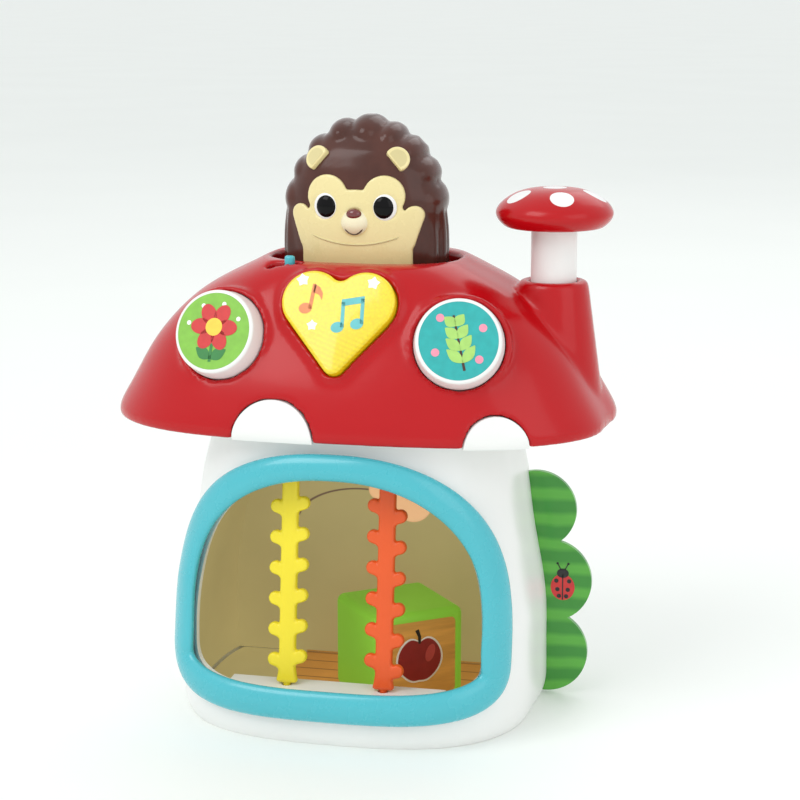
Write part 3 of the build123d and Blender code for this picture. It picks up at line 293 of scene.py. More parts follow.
def metal(name, tone, roughness):
    """Plain drawn metal with fine streaks."""
    paint = Paint(name)
    streaks = paint.noise(300.0, 3.0, stretch=(1.0, 1.0, 12.0))
    material = paint.finish(paint.ramp(streaks, shaded(tone, 0.85), tone), roughness, grain=0.1)
    paint.shader.inputs["Metallic"].default_value = 1.0
    return material


def room_print():
    """Olive lining with boards along its foot, a low hill line and a warm round cloud; it glows by itself as
    painted light that brightens the room.
    """
    colours = palette()
    paint = Paint("room print")
    x, z = paint.axis("X"), paint.axis("Z")
    olive, boards = colours.room_olive, colours.room_plank
    ground = paint.ramp(paint.noise(9.0, 4.0), shaded(olive, 0.86), shaded(olive, 1.08))
    wood = paint.noise(120.0, 4.0, stretch=(0.12, 0.12, 2.2))
    plank = paint.ramp(wood, shaded(boards, 0.7), shaded(boards, 1.15))
    seam = paint.sum("PINGPONG", paint.axis("Y"), 0.006)
    plank = paint.over(plank, screen(120, 82, 40), paint.unless(paint.step(seam, 0.0006, 0.0004)))
    below = paint.unless(paint.step(z, 0.0050, 0.0003))
    ground = paint.over(ground, plank, paint.sum("MULTIPLY", below, paint.step(x, -0.042, 0.0006)))
    across = paint.sum("DIVIDE", paint.sum("ADD", x, 0.012), 0.0345)
    lift = paint.sum("DIVIDE", paint.sum("SUBTRACT", z, 0.075), 0.0195)
    line = paint.sum("ABSOLUTE", paint.sum("SUBTRACT", paint.distance(across, lift), 1.0))
    line = paint.unless(paint.step(line, 0.022, 0.012))
    line = paint.sum("MULTIPLY", line, paint.step(z, 0.079, 0.001))
    line = paint.sum("MULTIPLY", line, paint.unless(paint.step(x, -0.008, 0.001)))
    ground = paint.over(ground, screen(96, 76, 62), line)
    cloud = None
    for centre_x, centre_z, radius in (
        (0.0150, 0.0885, 0.0100), (-0.0030, 0.0945, 0.0050), (0.0050, 0.0940, 0.0055),
    ):
        away = paint.distance(paint.sum("SUBTRACT", x, centre_x), paint.sum("SUBTRACT", z, centre_z))
        blob = paint.unless(paint.step(away, radius, 0.0006))
        cloud = blob if cloud is None else paint.sum("MAXIMUM", cloud, blob)
    ground = paint.over(ground, screen(226, 178, 136), cloud)
    # Painted light: the lining glows by itself so the room looks lit inside.
    paint.lit(ground, 0.62)
    return paint.finish(ground, 0.5, grain=0.02)


def bush_print():
    """Two greens in soft level bands."""
    colours = palette()
    paint = Paint("bush print")
    wobble = paint.noise(40.0, 2.0)
    level = paint.sum("ADD", paint.axis("Z"), paint.sum("MULTIPLY", wobble, 0.004))
    bands = paint.sum("PINGPONG", level, 0.0062)
    ground = paint.ramp(
        paint.sum("DIVIDE", bands, 0.0062), tuple(colours.bush_dark), tuple(colours.bush_light), 0.35, 0.75
    )
    return paint.finish(ground, 0.33, grain=0.04, coat=0.25)


def block_wood():
    """Printed wood grain of the block's panel, with a painted glow that brightens it."""
    ochre = palette().panel_ochre
    paint = Paint("block panel print")
    grain = paint.noise(70.0, 5.0, stretch=(0.5, 0.5, 4.0), roughness=0.6)
    ground = paint.ramp(grain, shaded(ochre, 0.78), shaded(ochre, 1.16))
    # Painted light: the panel glows by itself so it looks lit inside the room.
    paint.lit(ground, 0.3)
    return paint.finish(ground, 0.4, grain=0.02)


def lit_heart():
    """Glowing yellow plastic with fine ribs below its surface."""
    paint = Paint("heart plastic")
    weave = paint.node("ShaderNodeTexVoronoi")
    weave.inputs["Scale"].default_value = 850.0
    paint.join(paint.coordinates, weave.inputs["Vector"])
    tone = tuple(palette().heart_yellow)
    ground = paint.ramp(weave.outputs["Distance"], tone, shaded(tone, 0.84), 0.1, 0.9)
    slant = paint.sum("ADD", paint.axis("Z"), paint.sum("MULTIPLY", paint.axis("X"), 0.35))
    ribs = paint.sum("PINGPONG", slant, 0.0011)
    low = paint.unless(paint.step(paint.axis("Z"), 0.196, 0.010))
    stripes = paint.sum("MULTIPLY", paint.step(ribs, 0.00055, 0.0002), paint.sum("MULTIPLY", low, 0.5))
    ground = paint.over(ground, shaded(tone, 0.74), stripes)
    paint.lit(ground, 0.10)
    return paint.finish(ground, 0.25, grain=0.08, coat=0.5)


def coat_plastic():
    """Deep glossy brown of the coat, in drifting tones."""
    paint = Paint("coat plastic")
    tone = palette().coat_brown
    ground = paint.ramp(paint.noise(60.0, 3.0), shaded(tone, 0.78), shaded(tone, 1.12))
    paint.shader.inputs["Specular IOR Level"].default_value = 0.28
    return paint.finish(ground, 0.2, grain=0.0, coat=0.08)


def material_named(name):
    """A finish that was made before."""
    return bpy.data.materials[name]


def make_finishes():
    """Makes every finish of the toy."""
    colours = palette()
    moulded("roof plastic", colours.roof_red, 0.24, 0.02, 0.1, 0.0, 0.3)
    moulded("wall plastic", colours.wall_white, 0.34, 0.01, 0.15, 0.0)
    moulded("ring plastic", colours.ring_blue, 0.27, 0.02, 0.3, 0.0)
    moulded("yellow vine rubber", colours.vine_yellow, 0.42, 0.05, 0.1, 0.08)
    moulded("orange vine rubber", colours.vine_orange, 0.42, 0.05, 0.1, 0.08)
    # Painted light: the block's green glows by itself (0.38) so it looks lit inside the room.
    moulded("block plastic", colours.block_green, 0.40, 0.04, 0.0, 0.02, 0.3, 0.38)
    moulded("cream plastic", colours.face_cream, 0.27, 0.03, 0.35, 0.03)
    # Painted shade: face cream darkened to 0.8 for the ears' hollow middles and the chin's crease.
    moulded("painted shade cream", shaded(colours.face_cream, 0.8), 0.35, 0.06, 0.2, 0.04)
    moulded("eye plastic", screen(8, 8, 9), 0.08, 0.1, 0.0, 0.0, 0.16)
    moulded("muzzle plastic", screen(238, 230, 196), 0.27, 0.03, 0.35, 0.03)
    moulded("nose plastic", screen(104, 28, 30), 0.16, 0.1, 0.8, 0.02)
    moulded("dark inside", screen(52, 52, 54), 0.5, 0.1, 0.0, 0.1)
    moulded("dome rubber", screen(120, 120, 118), 0.6, 0.06, 0.0, 0.1)
    moulded("board green", screen(28, 92, 48), 0.4, 0.12, 0.1, 0.05)
    moulded("lamp plastic", screen(244, 234, 190), 0.2, 0.04, 0.5, 0.02)
    moulded("cell sleeve", screen(70, 76, 88), 0.35, 0.1, 0.2, 0.04)
    metal("bright steel", (0.62, 0.62, 0.63), 0.3)
    printed("ink white", screen(246, 246, 240))
    printed("ink black", screen(24, 20, 20))
    printed("ink line", screen(70, 44, 32))
    printed("ink red", screen(206, 44, 44))
    printed("ink apple", screen(150, 34, 36))
    printed("ink apple light", screen(196, 74, 70))
    printed("ink yellow", screen(246, 206, 66))
    printed("ink pink", screen(240, 150, 172))
    printed("ink leaf", screen(44, 128, 58))
    printed("ink pale leaf", screen(168, 214, 110))
    printed("note orange", colours.note_orange)
    printed("note blue", colours.note_blue)
    printed("disc green", colours.disc_green)
    printed("disc teal", colours.disc_teal)
    room_print()
    bush_print()
    block_wood()
    lit_heart()
    coat_plastic()


class Frame2D:
    """A flat ground: points are given across and up, and lie on it."""

    def __init__(self, origin, across, facing):
        self.origin = Vector(origin)
        self.facing = Vector(facing).normalized()
        self.across = (Vector(across) - self.facing * Vector(across).dot(self.facing)).normalized()
        self.up = self.facing.cross(self.across)

    def at(self, u, v, lift=0.0):
        return self.origin + self.across * u + self.up * v + self.facing * lift


def linked(name, mesh_data):
    """Object in the scene with the mesh of bmesh data."""
    mesh = bpy.data.meshes.new(name)
    mesh_data.to_mesh(mesh)
    mesh_data.free()
    piece = bpy.data.objects.new(name, mesh)
    bpy.context.scene.collection.objects.link(piece)
    return piece


def new_piece(name, mesh_data, material, body, smooth=True):
    """Turns bmesh data into a piece that rides on a body."""
    bmesh.ops.recalc_face_normals(mesh_data, faces=mesh_data.faces[:])
    piece = linked(name, mesh_data)
    dress(piece, material, smooth)
    return settle(piece, body)


def dress(piece, material, smooth=True):
    """Gives a piece its finish and its shading."""
    piece.data.materials.clear()
    piece.data.materials.append(material_named(material))
    for face in piece.data.polygons:
        face.use_smooth = smooth


def settle(piece, body):
    """Lets a finished piece ride on its body."""
    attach(piece, body)
    return piece


def freeze(piece):
    """Turns a piece and its modifiers into one plain mesh."""
    graph = bpy.context.evaluated_depsgraph_get()
    mesh = bpy.data.meshes.new_from_object(piece.evaluated_get(graph))
    piece.modifiers.clear()
    old = piece.data
    piece.data = mesh
    bpy.data.meshes.remove(old)
    return piece


def soften(piece, cell, rounds):
    """Joins what a piece is made of into one soft skin."""
    remesh = piece.modifiers.new("skin", "REMESH")
    remesh.mode = "VOXEL"
    remesh.voxel_size = cell
    relax = piece.modifiers.new("relax", "SMOOTH")
    relax.factor = 0.5
    relax.iterations = rounds


def merged_copy(node, name):
    """Copy of a solid's mesh with its triangles joined."""
    mesh_data = bmesh.new()
    mesh_data.from_mesh(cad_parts[node].data)
    bmesh.ops.remove_doubles(mesh_data, verts=mesh_data.verts[:], dist=0.004 * MM)
    return linked(name, mesh_data)


def creased(piece, angle):
    """Smooth shading that stays crisp at edges sharper than an angle."""
    for face in piece.data.polygons:
        face.use_smooth = True
    mesh_data = bmesh.new()
    mesh_data.from_mesh(piece.data)
    for edge in mesh_data.edges:
        edge.smooth = len(edge.link_faces) == 2 and edge.calc_face_angle(0.0) < math.radians(angle)
    mesh_data.to_mesh(piece.data)
    mesh_data.free()


def smooth_stand_in(node, material, body, angle=32.0):
    """A solid's own shape with even shading, in place of the solid."""
    piece = merged_copy(node, node + "_skin")
    dress(piece, material)
    creased(piece, angle)
    settle(piece, body)
    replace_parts(piece, node)
    return piece


def circle_points(radius, count=40, squash=1.0):
    """Round outline."""
    return [
        (radius * math.cos(2 * math.pi * i / count), radius * squash * math.sin(2 * math.pi * i / count))
        for i in range(count)
    ]


def moved(points, across, up, turn=0.0):
    """Outline turned by degrees, then moved."""
    c, s = math.cos(math.radians(turn)), math.sin(math.radians(turn))
    return [(across + x * c - y * s, up + x * s + y * c) for x, y in points]


def in_mm(points):
    """Outline given in millimetres."""
    return [(u * MM, v * MM) for u, v in points]


def bar_points(half, low, high):
    """Upright bar, in millimetres."""
    return in_mm([(-half, low), (half, low), (half, high), (-half, high)])


def star_points(radius, spikes=5, waist=0.55):
    """Plump star."""
    points = []
    for i in range(spikes * 2):
        reach = radius if i % 2 == 0 else radius * waist
        turn = math.pi / 2 + math.pi * i / spikes
        points.append((reach * math.cos(turn), reach * math.sin(turn)))
    return points


def petal_points(length, width, count=28):
    """Leaf outline with a point at its far end, from the origin upwards."""
    points = []
    for i in range(count):
        turn = 2 * math.pi * i / count
        along = 0.5 - 0.5 * math.cos(turn)
        swell = 0.35 + 0.65 * math.sin(math.pi * min(1.0, along * 0.92 + 0.08))
        points.append((width / 2 * math.sin(turn) * swell, length * along))
    return points


def add_print(mesh_data, ground, points, low, high):
    """Thin flat patch on a ground."""
    bottom = [mesh_data.verts.new(ground.at(u, v, low)) for u, v in points]
    top = [mesh_data.verts.new(ground.at(u, v, high)) for u, v in points]
    mesh_data.faces.new(list(reversed(bottom)))
    mesh_data.faces.new(top)
    for i in range(len(points)):
        j = (i + 1) % len(points)
        mesh_data.faces.new((bottom[i], bottom[j], top[j], top[i]))


def print_piece(name, ground, outlines, material, body, lift, layer=1):
    """One ink of a picture, as thin patches."""
    mesh_data = bmesh.new()
    for points in outlines:
        add_print(mesh_data, ground, points, lift, lift + sizes().print_lift * layer)
    return new_piece(name, mesh_data, material, body, smooth=False)


HOUSE_HEIGHT = 144.5 * MM
HOUSE_LEVELS = [
    (HOUSE_HEIGHT * rise, 88.25 * MM * share, 81.0 * MM * share)
    for rise, share in (
        (0.0, 0.968), (0.03, 0.992), (0.115, 1.003), (0.27, 1.0), (0.48, 0.967), (0.70, 0.906), (0.90, 0.848),
        (1.0, 0.817),
    )
]
HOUSE_SQUARENESS = 2.8


def half_sizes(levels, z):
    """Half width and half depth of a form at a height."""
    for lower, upper in zip(levels, levels[1:]):
        if z <= upper[0]:
            break
    share = min(1.0, (z - lower[0]) / (upper[0] - lower[0]))
    return lower[1] + share * (upper[1] - lower[1]), lower[2] + share * (upper[2] - lower[2])


def house_front(x, z):
    """Distance of the front wall from the middle plane."""
    half_width, half_depth = half_sizes(HOUSE_LEVELS, z)
    return half_depth * (1 - min(0.999, abs(x / half_width)) ** HOUSE_SQUARENESS) ** (1 / HOUSE_SQUARENESS)


def wall_facing(x, z):
    """Direction that the front wall faces."""
    d = 0.5 * MM
    across = house_front(x + d, z) - house_front(x - d, z)
    rise = house_front(x, z + d) - house_front(x, z - d)
    return Vector((-across, -2 * d, -rise)).normalized()


class TOY_OT_finishes(bpy.types.Operator):
    """Make the toy's finishes and put them on the solids that stay"""

    bl_idname = "toy.finishes"
    bl_label = "Finishes"

    def execute(self, context):
        make_finishes()
        plain = {
            "room print": ("room_liner", "floor_board"),
            "bush print": ("bush_plate",),
            "wall plastic": ("roof_spots", "battery_door", "base_plate", "roof_base"),
            "dark inside": (
                "hedgehog_carriage", "guide_post", "latch_lever", "latch_bracket", "battery_box",
                "switch_body", "speaker",
            ),
            "board green": ("main_board", "left_button_board", "right_button_board", "heart_button_board"),
            "lamp plastic": ("heart_lamp",),
            "cell sleeve": ("batteries",),
            "bright steel": (
                "base_screws", "top_screws", "roof_screws", "battery_door_screw", "latch_pin", "latch_spring",
                "battery_contacts",
            ),
            "disc green": ("left_button_picture",),
            "disc teal": ("right_button_picture",),
            "block panel print": ("block_panels",),
        }
        for material, nodes in plain.items():
            for node in nodes:
                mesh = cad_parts[node].data
                mesh.materials.clear()
                mesh.materials.append(material_named(material))
        return {"FINISHED"}


class TOY_OT_house(bpy.types.Operator):
    """Build the white walls with even shading"""

    bl_idname = "toy.house"
    bl_label = "House walls"

    def execute(self, context):
        smooth_stand_in("house_front_shell", "wall plastic", "house")
        smooth_stand_in("rear_cover", "wall plastic", "house")
        return {"FINISHED"}


SLOT_MIDDLE = (-32.0 * MM, -33.5 * MM)
SLOT_STRAIGHT = 5.0 * MM
SLOT_RADIUS = 3.2 * MM
SLOT_BOTTOM = 200.0 * MM


def clear_slot(piece):
    """Draws the roof's skin back to the walls of the switch's slot."""
    for vert in piece.data.vertices:
        x, y = vert.co.x - SLOT_MIDDLE[0], vert.co.y - SLOT_MIDDLE[1]
        off = x - max(-SLOT_STRAIGHT, min(SLOT_STRAIGHT, x))
        reach = math.hypot(off, y)
        if vert.co.z > SLOT_BOTTOM and 0.0 < reach < SLOT_RADIUS:
            push = SLOT_RADIUS / reach - 1.0
            vert.co.x += off * push
            vert.co.y += y * push


class TOY_OT_roof(bpy.types.Operator):
    """Build the red roof, its corners softened as a moulding's are"""

    bl_idname = "toy.roof"
    bl_label = "Roof"

    def execute(self, context):
        piece = merged_copy("roof_shell", "roof_skin")
        soften(piece, sizes().roof_voxel, 12)
        freeze(piece)
        clear_slot(piece)
        dress(piece, "roof plastic")
        settle(piece, "house")
        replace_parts(piece, "roof_shell")
        return {"FINISHED"}


class TOY_OT_ring(bpy.types.Operator):
    """Build the round window ring"""

    bl_idname = "toy.ring"
    bl_label = "Window ring"

    def execute(self, context):
        mesh_data = bmesh.new()
        half_width = 74.0 * MM
        bottom, height, share = 21.3 * MM, 109.5 * MM, 0.2475
        widest = bottom + height * share
        steps, spokes = 200, 28
        path = []
        for i in range(steps):
            turn = 2 * math.pi * i / steps
            upper = math.cos(turn) >= 0
            power = 2.5 if upper else 4.85
            reach = (abs(math.cos(turn)) ** power + abs(math.sin(turn)) ** power) ** (-1 / power)
            span = bottom + height - widest if upper else widest - bottom
            x = half_width * reach * math.sin(turn)
            z = widest + span * reach * math.cos(turn)
            broad = 3.4 * MM * math.sin(turn) ** 4
            slim = 2.6 * MM * max(0.0, math.cos(turn)) ** 4
            path.append((Vector((x, -house_front(x, z), z)), wall_facing(x, z), broad, slim))
        depth = sizes().ring_depth
        rings = []
        for i, (wall, facing, broad, slim) in enumerate(path):
            along = (path[(i + 1) % steps][0] - path[i - 1][0]).normalized()
            across = along.cross(facing).normalized()
            if across.x * wall.x + across.z * (wall.z - widest) < 0:
                across = -across
            width = sizes().ring_width + broad - slim
            centre = wall + facing * (depth / 2 + 0.6 * MM) + across * (slim - broad) / 2
            ring = []
            for k in range(spokes):
                turn = 2 * math.pi * k / spokes
                c, s = math.cos(turn), math.sin(turn)
                ring.append(mesh_data.verts.new(centre + across * (width / 2 * c) + facing * (depth / 2 * s)))
            rings.append(ring)
        for i in range(steps):
            for k in range(spokes):
                mesh_data.faces.new((
                    rings[i][k], rings[i][(k + 1) % spokes], rings[(i + 1) % steps][(k + 1) % spokes],
                    rings[(i + 1) % steps][k],
                ))
        piece = new_piece("window_ring_bead", mesh_data, "ring plastic", "house")
        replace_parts(piece, "window_ring")
        return {"FINISHED"}


def tree_input(tree, title, kind, value=None):
    """Named input of a node tree."""
    socket = tree.interface.new_socket(name=title, in_out="INPUT", socket_type=kind)
    if value is not None:
        socket.default_value = value
    return socket


def start_tree(name):
    """Empty node tree with its geometry in and out."""
    tree = bpy.data.node_groups.new(name, "GeometryNodeTree")
    tree_input(tree, "Geometry", "NodeSocketGeometry")
    tree.interface.new_socket(name="Geometry", in_out="OUTPUT", socket_type="NodeSocketGeometry")
    return tree, tree.nodes.new("NodeGroupInput"), tree.nodes.new("NodeGroupOutput")


def end_tree(tree, given, result, geometry):
    """Ends a tree in plain geometry with its finish."""
    real = tree.nodes.new("GeometryNodeRealizeInstances")
    tree.links.new(geometry, real.inputs[0])
    skin = tree.nodes.new("GeometryNodeSetMaterial")
    tree.links.new(real.outputs[0], skin.inputs["Geometry"])
    tree.links.new(given.outputs["Skin"], skin.inputs["Material"])
    tree.links.new(skin.outputs[0], result.inputs[0])
    return tree


def set_inputs(modifier, values):
    """Sets a modifier's inputs by the names that its tree gives them."""
    for item in modifier.node_group.interface.items_tree:
        if item.item_type == "SOCKET" and item.in_out == "INPUT" and item.name in values:
            modifier[item.identifier] = values[item.name]


def leaf_tree():
    """Pairs of leaves along an upright stem."""
    tree, given, result = start_tree("Leaf pairs")
    for title, kind, value in (
        ("Leaf", "NodeSocketObject", None), ("Pitch", "NodeSocketFloat", 0.0153),
        ("Pairs", "NodeSocketInt", 6), ("First", "NodeSocketFloat", 0.012),
        ("Right step", "NodeSocketFloat", 0.0), ("Skin", "NodeSocketMaterial", None),
    ):
        tree_input(tree, title, kind, value)
    nodes, links = tree.nodes, tree.links
    info = nodes.new("GeometryNodeObjectInfo")
    links.new(given.outputs["Leaf"], info.inputs["Object"])
    join = nodes.new("GeometryNodeJoinGeometry")
    links.new(given.outputs["Geometry"], join.inputs[0])
    offset = nodes.new("ShaderNodeCombineXYZ")
    links.new(given.outputs["Pitch"], offset.inputs["Z"])
    for right in (True, False):
        start = nodes.new("ShaderNodeCombineXYZ")
        if right:
            add = nodes.new("ShaderNodeMath")
            add.operation = "ADD"
            links.new(given.outputs["First"], add.inputs[0])
            links.new(given.outputs["Right step"], add.inputs[1])
            links.new(add.outputs[0], start.inputs["Z"])
        else:
            links.new(given.outputs["First"], start.inputs["Z"])
        line = nodes.new("GeometryNodeMeshLine")
        links.new(given.outputs["Pairs"], line.inputs["Count"])
        links.new(start.outputs[0], line.inputs["Start Location"])
        links.new(offset.outputs[0], line.inputs["Offset"])
        place = nodes.new("GeometryNodeInstanceOnPoints")
        links.new(line.outputs[0], place.inputs["Points"])
        links.new(info.outputs["Geometry"], place.inputs["Instance"])
        if not right:
            place.inputs["Rotation"].default_value = (0.0, 0.0, math.pi)
        links.new(place.outputs[0], join.inputs[0])
    return end_tree(tree, given, result, join.outputs[0])


def rounded_plate(name, points, thickness, edge, segments=3):
    """Flat outline across X and Z, given a thickness along Y and rounded edges."""
    mesh_data = bmesh.new()
    add_print(mesh_data, Frame2D((0, 0, 0), (1, 0, 0), (0, -1, 0)), points, -thickness / 2, thickness / 2)
    bmesh.ops.recalc_face_normals(mesh_data, faces=mesh_data.faces[:])
    piece = linked(name, mesh_data)
    bevel = piece.modifiers.new("edge", "BEVEL")
    bevel.width = edge
    bevel.segments = segments
    bevel.limit_method = "ANGLE"
    bevel.angle_limit = math.radians(40)
    return freeze(piece)


VINE_FOOT = (23.5 * MM, -67.0 * MM, 24.5 * MM)
VINE_TOP = 129.5 * MM
VINE_LEAN = math.radians(6.7)


class TOY_OT_vines(bpy.types.Operator):
    """Build the two soft vines with their pairs of leaves"""

    bl_idname = "toy.vines"
    bl_label = "Vines"

    def execute(self, context):
        tree = leaf_tree()
        length = (VINE_TOP - VINE_FOOT[2]) / math.cos(VINE_LEAN)
        leaf_points = in_mm([(0.0, -4.4), (3.6, -4.0), (5.0, -2.6)])
        for k in range(13):
            turn = math.radians(-62 + 15 * k)
            leaf_points.append(((6.4 + 3.1 * math.cos(turn)) * MM, (1.2 + 3.3 * math.sin(turn)) * MM))
        leaf_points += in_mm([(4.2, 3.2), (0.0, 3.0)])
        leaf = rounded_plate("leaf_pattern", leaf_points, 4.7 * MM, 1.5 * MM)
        low, high = 0.9, length / MM - 0.9
        stem_points = in_mm([
            (-5.5, low), (5.5, low), (4.6, 4.0), (4.0, 8.0), (4.0, high), (-4.0, high), (-4.0, 8.0),
            (-4.6, 4.0),
        ])
        for side, body, node, material, slot, first, step in (
            (-1, "left_vine", "yellow_vine", "yellow vine rubber", "yellow_soft", 10.6, 2.0),
            (1, "right_vine", "orange_vine", "orange vine rubber", "orange_soft", 13.5, -4.6),
        ):
            piece = rounded_plate(node + "_strip", stem_points, 5.0 * MM, 1.6 * MM)
            pinned = bmesh.new()
            pinned.from_mesh(piece.data)
            for end in (0.0, length):
                bmesh.ops.create_cone(
                    pinned, cap_ends=True, segments=24, radius1=1.7 * MM, radius2=1.7 * MM, depth=5.0 * MM,
                    matrix=Matrix.Translation((0, 0, end)),
                )
            pinned.to_mesh(piece.data)
            pinned.free()
            modifier = piece.modifiers.new("leaves", "NODES")
            modifier.node_group = tree
            set_inputs(modifier, {
                "Leaf": leaf, "Pitch": sizes().leaf_pitch, "Pairs": sizes().leaf_count, "First": first * MM,
                "Right step": step * MM, "Skin": material_named(material),
            })
            soften(piece, 0.55 * MM, 4)
            freeze(piece)
            place = Matrix.Translation((side * VINE_FOOT[0], VINE_FOOT[1], VINE_FOOT[2]))
            piece.data.transform(place @ Matrix.Rotation(-VINE_LEAN, 4, "X"))
            dress(piece, material)
            settle(piece, body)
            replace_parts(piece, node)
        bpy.data.objects.remove(leaf)
        return {"FINISHED"}


def button_ground(side, lift):
    """Flat top of a round button."""
    turn, tilt = math.radians(9.0) * side, math.radians(21.0)
    facing = (math.sin(turn) * math.cos(tilt), -math.cos(turn) * math.cos(tilt), math.sin(tilt))
    ground = Frame2D((side * 56.7 * MM, -56.0 * MM, 190.0 * MM), (math.cos(turn), math.sin(turn), 0), facing)
    ground.origin = ground.origin + ground.facing * lift
    return ground


class TOY_OT_buttons(bpy.types.Operator):
    """Build the round buttons and print a flower and a leaf sprig on them"""

    bl_idname = "toy.buttons"
    bl_label = "Round buttons"

    def execute(self, context):
        for side, name in ((-1, "left"), (1, "right")):
            body = name + "_button"
            smooth_stand_in(name + "_button_cap", "wall plastic", body, 40)
            ground = button_ground(side, 8.0 * MM)
            if side < 0:
                petals = []
                for k in range(6):
                    turn = 2 * math.pi * k / 6
                    u, v = 6.6 * MM * math.cos(turn), 2.0 * MM + 6.6 * MM * math.sin(turn)
                    petals.append(moved(circle_points(5.2 * MM, 28, 0.72), u, v, math.degrees(turn)))
                stalk = [bar_points(0.7, -14.5, 0.0)]
                leaf = petal_points(9.0 * MM, 5.5 * MM)
                leaves = [moved(leaf, 0.0, -13.0 * MM, turn) for turn in (58, -58)]
                print_piece("flower_stalk", ground, stalk + leaves, "ink leaf", body, 0.0)
                print_piece("flower_petals", ground, petals, "ink red", body, 0.0, layer=1.5)
                middle = [moved(circle_points(4.2 * MM), 0.0, 2.0 * MM)]
                print_piece("flower_heart", ground, middle, "ink yellow", body, 0.0, layer=2.0)
                dots = [
                    moved(circle_points(1.1 * MM, 16), 13.5 * MM * math.cos(turn), 13.5 * MM * math.sin(turn))
                    for turn in (0.5, 1.3, 2.1, 2.9)
                ]
                print_piece("flower_dots", ground, dots, "ink white", body, 0.0)
            else:
                twig = [moved(in_mm([(-0.6, -14.0), (0.6, -14.0), (0.5, 12.0), (-0.5, 12.0)]), 0.0, 0.0, 12)]
                leaves = []
                for k in range(4):
                    up = (-10.0 + 5.6 * k) * MM
                    shift = -up * math.tan(math.radians(12))
                    for turn in (52, -34):
                        leaves.append(moved(petal_points((9.6 - k) * MM, 5.0 * MM), shift, up, turn))
                print_piece("sprig_twig", ground, twig, "ink line", body, 0.0)
                print_piece("sprig_leaves", ground, leaves, "ink pale leaf", body, 0.0, layer=1.5)
                berries = [
                    moved(circle_points(1.9 * MM, 20), u, v)
                    for u, v in in_mm([(9.5, -8.5), (-10.5, -5.5), (11.0, 6.0), (-8.5, 10.5)])
                ]
                print_piece("sprig_berries", ground, berries, "ink pink", body, 0.0)
        return {"FINISHED"}


def note_outlines(double):
    """Outlines of a single or a double music note."""
    head = circle_points(3.1 * MM, 24, 0.82)
    stem = bar_points(0.85, 0.0, 12.0)
    if not double:
        flag = in_mm([(2.2, 12.0), (2.2, 8.0), (5.2, 7.2), (7.0, 4.8), (6.8, 8.2), (5.0, 10.8)])
        return [moved(head, 0, 0, 15), moved(stem, 2.2 * MM, 0.0), flag]
    beam = in_mm([(1.4, 10.0), (1.4, 13.2), (12.1, 14.8), (12.1, 11.6)])
    return [
        moved(head, 0, 0, 15), moved(stem, 2.2 * MM, 0.0), moved(head, 9.1 * MM, 1.6 * MM, 15),
        moved(stem, 11.3 * MM, 1.6 * MM), beam,
    ]


class TOY_OT_heart(bpy.types.Operator):
    """Build the lit heart button with notes and stars"""

    bl_idname = "toy.heart"
    bl_label = "Heart button"

    def execute(self, context):
        smooth_stand_in("heart_button_cap", "heart plastic", "heart_button", 40)
        tilt = math.radians(25.0)
        ground = Frame2D((0, -53.5 * MM, 206.5 * MM), (1, 0, 0), (0, -math.cos(tilt), math.sin(tilt)))
        ground.origin = ground.origin + ground.facing * 3.6 * MM
        single = [moved(points, -15.0 * MM, -4.0 * MM, -6) for points in note_outlines(False)]
        double = [moved(points, 1.0 * MM, -12.5 * MM, 2) for points in note_outlines(True)]
        stars = [
            moved(star_points(radius * MM, 5, 0.66), u * MM, v * MM, turn)
            for radius, u, v, turn in ((3.2, -17.5, 9.5, 12), (3.2, 16.0, 9.0, -8), (2.7, -11.0, -12.0, 4))
        ]
        print_piece("heart_single_note", ground, single, "note orange", "heart_button", 0.0)
        print_piece("heart_double_note", ground, double, "note blue", "heart_button", 0.0)
        print_piece("heart_stars", ground, stars, "ink white", "heart_button", 0.0)
        return {"FINISHED"}


KNOB_MIDDLE = (-30.0 * MM, -33.5 * MM)
KNOB_BOTTOM = 209.4 * MM
KNOB_SHARE = 0.84


class TOY_OT_switch(bpy.types.Operator):
    """Build the switch knob"""

    bl_idname = "toy.switch"
    bl_label = "Switch"

    def execute(self, context):
        piece = merged_copy("switch_knob", "switch_knob_skin")
        soften(piece, 0.45 * MM, 8)
        freeze(piece)
        for vert in piece.data.vertices:
            for axis, middle in enumerate(KNOB_MIDDLE):
                vert.co[axis] = middle + (vert.co[axis] - middle) * KNOB_SHARE
            vert.co.z = max(vert.co.z, KNOB_BOTTOM)
        dress(piece, "ring plastic")
        settle(piece, "switch")
        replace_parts(piece, "switch_knob")
        return {"FINISHED"}


HEDGEHOG_BOTTOM = 209.0 * MM
COAT_HOLLOW_RADIUS = 12.0 * MM
COAT_HOLLOW_TOP = 282.6 * MM
HEDGEHOG_HEIGHT = 80.5 * MM
HEDGEHOG_LEVELS = [
    (HEDGEHOG_BOTTOM + HEDGEHOG_HEIGHT * rise, 40.5 * MM * width, 23.0 * MM * depth)
    for rise, width, depth in (
        (0.0, 0.965, 0.93), (0.16, 0.975, 0.95), (0.36, 1.0, 1.0), (0.534, 0.97, 1.0), (0.683, 0.875, 0.95),
        (0.807, 0.72, 0.82), (0.907, 0.53, 0.63), (0.969, 0.32, 0.40), (1.0, 0.15, 0.20),
    )
]
HEDGEHOG_SQUARENESS = 2.3


def coat_point(z, turn):
    """Point of the coat at a height, round from its right side."""
    half_width, half_depth = half_sizes(HEDGEHOG_LEVELS, z)
    c, s = math.cos(turn), math.sin(turn)
    reach = (abs(c) ** HEDGEHOG_SQUARENESS + abs(s) ** HEDGEHOG_SQUARENESS) ** (-1 / HEDGEHOG_SQUARENESS)
    return Vector((half_width * reach * c, half_depth * reach * s, z))


def coat_facing(z, turn):
    """Direction that the coat faces."""
    d = 0.6 * MM
    low, high = max(HEDGEHOG_BOTTOM, z - d), min(HEDGEHOG_LEVELS[-1][0], z + d)
    up = coat_point(high, turn) - coat_point(low, turn)
    round_ = coat_point(z, turn + 0.02) - coat_point(z, turn - 0.02)
    return round_.cross(up).normalized()


